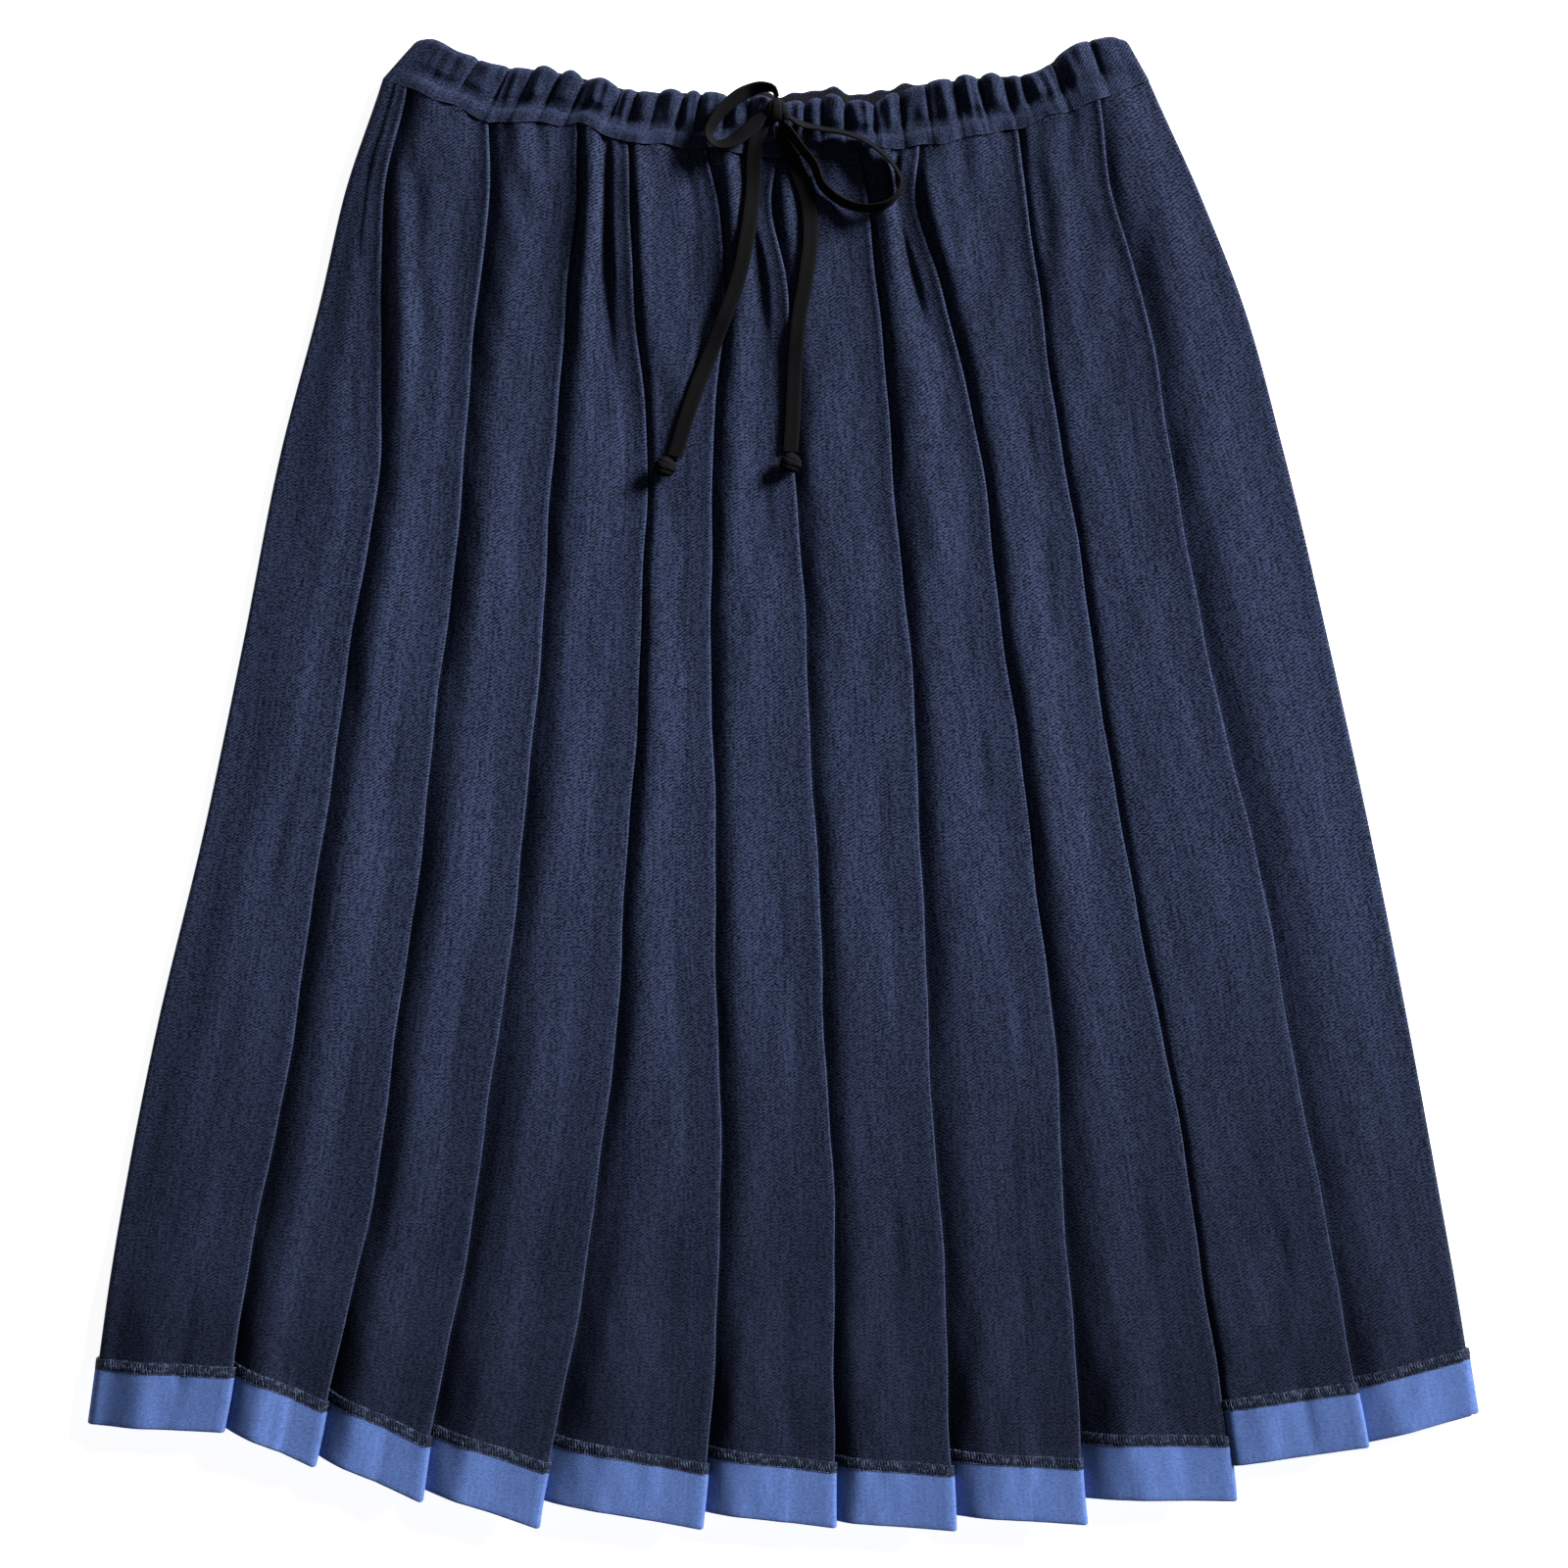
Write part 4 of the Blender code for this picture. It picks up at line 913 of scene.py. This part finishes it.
class Tree:
    """Builds the nodes of a material or a world. A value given to an input is a number, a colour without
    its alpha, or another node's output."""

    def __init__(self, owner, shader, settings=()):
        owner.use_nodes = True
        self.owner = owner
        self.nodes, self.links = owner.node_tree.nodes, owner.node_tree.links
        self.shader = self.nodes[shader].inputs
        for name, value in dict(settings).items():
            self.put(self.shader[name], value)

    def add(self, kind, inputs=(), output=0, **settings):
        node = self.nodes.new("ShaderNode" + kind)
        for key, value in settings.items():
            setattr(node, key, value)
        for place, value in dict(inputs).items():
            self.put(node.inputs[place], value)
        return node.outputs[output]

    def put(self, socket, value):
        if isinstance(value, bpy.types.NodeSocket):
            self.links.new(value, socket)
        else:
            socket.default_value = (*value, 1.0) if isinstance(value, tuple) else value

    def math(self, operation, first, second=0.0, third=0.0, clamp=False):
        inputs = {0: first, 1: second, 2: third}
        return self.add("Math", inputs, operation=operation, use_clamp=clamp)

    def scale(self, value, factor, plus=0.0, clamp=False):
        return self.math("MULTIPLY_ADD", value, factor, plus, clamp)

    def colour(self, share, first, second):
        """The shader's colour, from the first to the second."""
        self.put(self.shader["Base Color"], self.blend(share, first, second))

    def blend(self, share, first, second):
        return self.add("Mix", {0: share, 6: first, 7: second}, output=2, data_type="RGBA")

    def cloth_place(self):
        """The cloth's own place across and along the grain, in millimetres."""
        place = self.add("UVMap", uv_map="cloth")
        return [self.add("SeparateXYZ", {0: place}, output) for output in (0, 1)]

    def noise(self, u, v, across, along, seed, detail=2.0, rough=0.55):
        """Noise with its own size across and along the grain, from 0 to 1."""
        inputs = {0: self.math("DIVIDE", u, across), 1: self.math("DIVIDE", v, along), 2: seed}
        place = self.add("CombineXYZ", inputs)
        return self.add("TexNoise", {"Vector": place, "Scale": 1.0, "Detail": detail, "Roughness": rough})

    def bump(self, height, distance, strength=1.0):
        normal = self.add("Bump", {"Height": height, "Distance": distance, "Strength": strength})
        self.put(self.shader["Normal"], normal)


def cloth_tree(name, roughness, specular, **sheen):
    settings = {"Roughness": roughness, "Specular IOR Level": specular}
    return Tree(bpy.data.materials.new(name), "Principled BSDF", {**settings, **sheen})


# Its second to last field sets how far painted shade darkens the cloth towards its hem
Weave = namedtuple("Weave", "slant pitch rib yarn slub broad hem_tone relief")


def twill(name, dark, light, worn, weave):
    """A twill with slanted ribs, uneven yarns and lengthwise streaks. worn is its colour at a crease."""
    sheen = {"Sheen Weight": 0.05, "Sheen Roughness": 0.5, "Sheen Tint": (0.4, 0.5, 0.85)}
    tree = cloth_tree(name, 0.92, 0.12, **sheen)
    u, v = tree.cloth_place()
    columns, wobble, patches, *uneven = (tree.noise(u, v, *noise) for noise in TWILL_NOISES)
    yarn, short, slub, broad = (tree.math("SUBTRACT", noise, 0.5) for noise in uneven)
    down, across = cos_sin(weave.slant)
    turns = tree.math("MULTIPLY", u, -across * 2 * math.pi / weave.pitch)
    for value, factor in ((v, down * 2 * math.pi / weave.pitch), (columns, 7.0), (wobble, 5.0)):
        turns = tree.scale(value, factor, turns)
    rib = tree.math("MULTIPLY", tree.math("SINE", turns), 0.5)
    tone = tree.scale(rib, weave.rib, 0.5)
    for value, factor in ((yarn, weave.yarn), (short, weave.yarn * SHORT_SHARE), (slub, weave.slub)):
        tone = tree.scale(value, factor, tone)
    tone = tree.scale(broad, weave.broad, tone, clamp=True)
    # Painted shade: the tone is darkened towards the hem, and less towards the waist, where the gathers
    # shade it
    paler = tree.scale(v, 1 / 230, 1.2, clamp=True)
    waist = tree.scale(v, 1 / 190, -0.5, clamp=True)
    hem, top = weave.hem_tone, weave.hem_tone * WAIST_SHADE_SHARE
    tone = tree.math("MULTIPLY", tone, tree.scale(paler, hem, 1 - hem))
    tone = tree.math("MULTIPLY", tone, tree.scale(waist, -top, 1.0))
    crease = tree.add("Attribute", output=2, attribute_name="crease")
    rubbed = tree.math("MULTIPLY", crease, tree.scale(rib, 0.5, tree.scale(patches, 1.6, -0.2)), clamp=True)
    tree.colour(rubbed, tree.blend(tone, dark, light), worn)
    height = tree.scale(rib, 0.6, tree.math("MULTIPLY", yarn, 0.9))
    tree.bump(tree.scale(slub, 0.5, height), weave.relief)
    return tree.owner


def thread_cloth(name, dark, light):
    """Thread that covers an edge, with paler flecks."""
    tree = cloth_tree(name, 0.75, 0.25)
    fleck = tree.noise(*tree.cloth_place(), 0.7, 1.4, 3.0, 3.0, 0.7)
    tree.colour(tree.scale(tree.math("SUBTRACT", fleck, 0.56), 5.0, 0.12, clamp=True), dark, light)
    tree.bump(fleck, 0.0002)
    return tree.owner


def fleck_thread(name, dark, light):
    """Loose threads, whose colour changes from place to place."""
    tree = cloth_tree(name, 0.7, 0.25)
    place = tree.add("TexCoord", output=3)
    fleck = tree.add("TexNoise", {"Vector": place, "Scale": 420.0, "Detail": 2.0, "Roughness": 0.6})
    tree.colour(tree.scale(tree.math("SUBTRACT", fleck, 0.52), 6.0, 0.25, clamp=True), dark, light)
    return tree.owner


def tape_cloth(name, dark, light):
    """A narrow woven tape: fine ribs along it and finer picks across."""
    tree = cloth_tree(name, 0.85, 0.12)
    u, v = tree.cloth_place()
    rib = tree.math("SINE", tree.math("MULTIPLY", u, 2 * math.pi / TAPE_RIB))
    pick = tree.math("SINE", tree.math("MULTIPLY", v, 2 * math.pi / TAPE_PICK))
    weave = tree.scale(rib, 0.3, tree.math("MULTIPLY", pick, 0.2))
    fuzz = tree.noise(u, v, 0.7, 1.5, 4.0, 3.0)
    tree.colour(tree.math("ADD", tree.scale(weave, 0.5, 0.1), fuzz, clamp=True), dark, light)
    tree.bump(tree.math("ADD", weave, fuzz), 0.00004)
    return tree.owner


def add_stage():
    """A plain white floor, a soft key light from the upper right, and a faint even fill."""
    mesh = bpy.data.meshes.new("floor")
    far = FLOOR_HALF
    mesh.from_pydata([(-far, -far, 0), (far, -far, 0), (far, far, 0), (-far, far, 0)], [], [(0, 1, 2, 3)])
    floor = link(bpy.data.objects.new("floor", mesh))
    floor.location.z = -0.0004
    glow = {"Base Color": (0.92, 0.92, 0.92), "Emission Color": WHITE, "Emission Strength": 0.9}
    mesh.materials.append(cloth_tree("floor", 0.9, 0.0, **glow).owner)
    key = bpy.data.lights.new("key", "AREA")
    key.shape = "DISK"
    key.size = 4.5
    key.energy = 3500.0
    lamp = link(bpy.data.objects.new("key", key))
    lamp.location = (9.0, 6.3, 4.29)
    lamp.rotation_mode = "QUATERNION"
    lamp.rotation_quaternion = (-lamp.location).to_track_quat("-Z", "Y")
    world = Tree(bpy.data.worlds.new("studio"), "Background")
    up = world.add("SeparateXYZ", {0: world.add("TexCoord")}, 2)
    world.put(world.shader["Color"], world.blend(world.math("GREATER_THAN", up, 0.0), WHITE, FILL))
    bpy.context.scene.world = world.owner


def add_camera():
    data = bpy.data.cameras.new("camera")
    data.lens = LENS
    data.sensor_width = SENSOR
    data.clip_start, data.clip_end = 0.05, 20.0
    camera = link(bpy.data.objects.new("camera", data))
    camera.location = (0.0, 0.0, (VIEW_WIDTH * LENS / SENSOR + CLOTH_PLANE) * MM)
    bpy.context.scene.camera = camera


def dress(piece, slot, *nodes):
    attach(piece, BODY)
    if nodes:
        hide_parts(*nodes)
    return piece


def build():
    bpy.context.scene.view_settings.view_transform = "Standard"
    add_camera()
    add_stage()
    # The outer twill's 0.6 darkens the navy towards the hem, and less at the waist, as painted shade
    outer = Weave(34, 1.4, 0.7, 2.3, 0.8, 0.5, 0.6, 0.00016)
    reverse = Weave(-40, 1.0, 0.35, 1.6, 0.6, 0.3, 0.0, 0.00006)
    navy = twill("navy_twill", (0.0025, 0.004, 0.011), (0.043, 0.0595, 0.129), (0.046, 0.062, 0.118), outer)
    pale = (0.071, 0.124, 0.325), (0.125, 0.211, 0.52), (0.095, 0.165, 0.43)
    light = twill("light_reverse", *pale, reverse)
    # Near-black navy for the casing's inner faces: painted shade inside the casing
    inside = twill("inside_painted_shade", (0.003, 0.003, 0.005), (0.016, 0.016, 0.028), (0.03, 0.03, 0.05), outer)
    cover = thread_cloth("overlock_cover", (0.008, 0.012, 0.028), (0.085, 0.12, 0.23))
    loops = fleck_thread("overlock_thread", (0.022, 0.03, 0.065), (0.13, 0.175, 0.3))
    black = tape_cloth("drawstring", (0.0014, 0.0014, 0.0018), (0.0042, 0.0042, 0.0053))

    front_rows = [front_section(row) for row in finer(FRONT_ROWS, FRONT_FINER)]
    front = add_panel("front_cloth", front_rows, front_seam_y, (navy, light))
    dress(front, "navy_twill", "front_panel")
    back_rows = [back_section(row) for row in finer(BACK_ROWS, BACK_FINER)]
    back = add_panel("back_cloth", back_rows, back_seam_y, (navy, light))
    dress(back, "navy_twill", "back_panel")
    hem_front = add_turn_up("front_turn_up", front_section, light, cover)
    dress(hem_front, "light_reverse", "hem_turnup_front")
    hem_back = add_turn_up("back_turn_up", back_section, light, cover)
    dress(hem_back, "light_reverse", "hem_turnup_back")
    sewn_front = sweep_tubes("front_overlock", overlock_paths(front_section, 3), THREAD, loops)
    sewn_back = sweep_tubes("back_overlock", overlock_paths(back_section, 4), THREAD, loops)
    dress(sewn_front, "navy_twill")
    dress(sewn_back, "navy_twill")
    casing = dress(add_casing(front_rows, navy, inside), "navy_twill", "waistband")

    bpy.context.view_layer.update()
    cloth = [tree_of(front), tree_of(casing)]

    def tape(name, node, route, trees, ends, knot_z=0.0):
        laid = lay_tape(route, trees, knot_z)
        return dress(add_tape(name, laid, ends, black), "drawstring", node), laid

    left, left_laid = tape("left_tail", "tail_left", TAIL_LEFT, cloth, (0,))
    right, right_laid = tape("right_tail", "tail_right", TAIL_RIGHT, cloth, (0,))
    left_end, _ = add_knot("left_end_knot", END_KNOT_LEFT, END_KNOT_HALF, cloth, END_TURNS, black)
    right_end, _ = add_knot("right_end_knot", END_KNOT_RIGHT, END_KNOT_HALF, cloth, END_TURNS, black)
    knot, knot_z = add_knot("centre_knot", KNOT_AT, KNOT_HALF, cloth, BOW_TURNS, black)
    dress(left_end, "drawstring", "tail_knot_left")
    dress(right_end, "drawstring", "tail_knot_right")
    dress(knot, "drawstring", "bow_knot")
    bpy.context.view_layer.update()
    under_loops = [*cloth, tree_of(left), tree_of(right)]
    loops_on = (under_loops, (0, -1), knot_z)
    left_loop, left_loop_laid = tape("left_loop", "bow_loop_left", LOOP_LEFT, *loops_on)
    right_loop, right_loop_laid = tape("right_loop", "bow_loop_right", LOOP_RIGHT, *loops_on)


build()
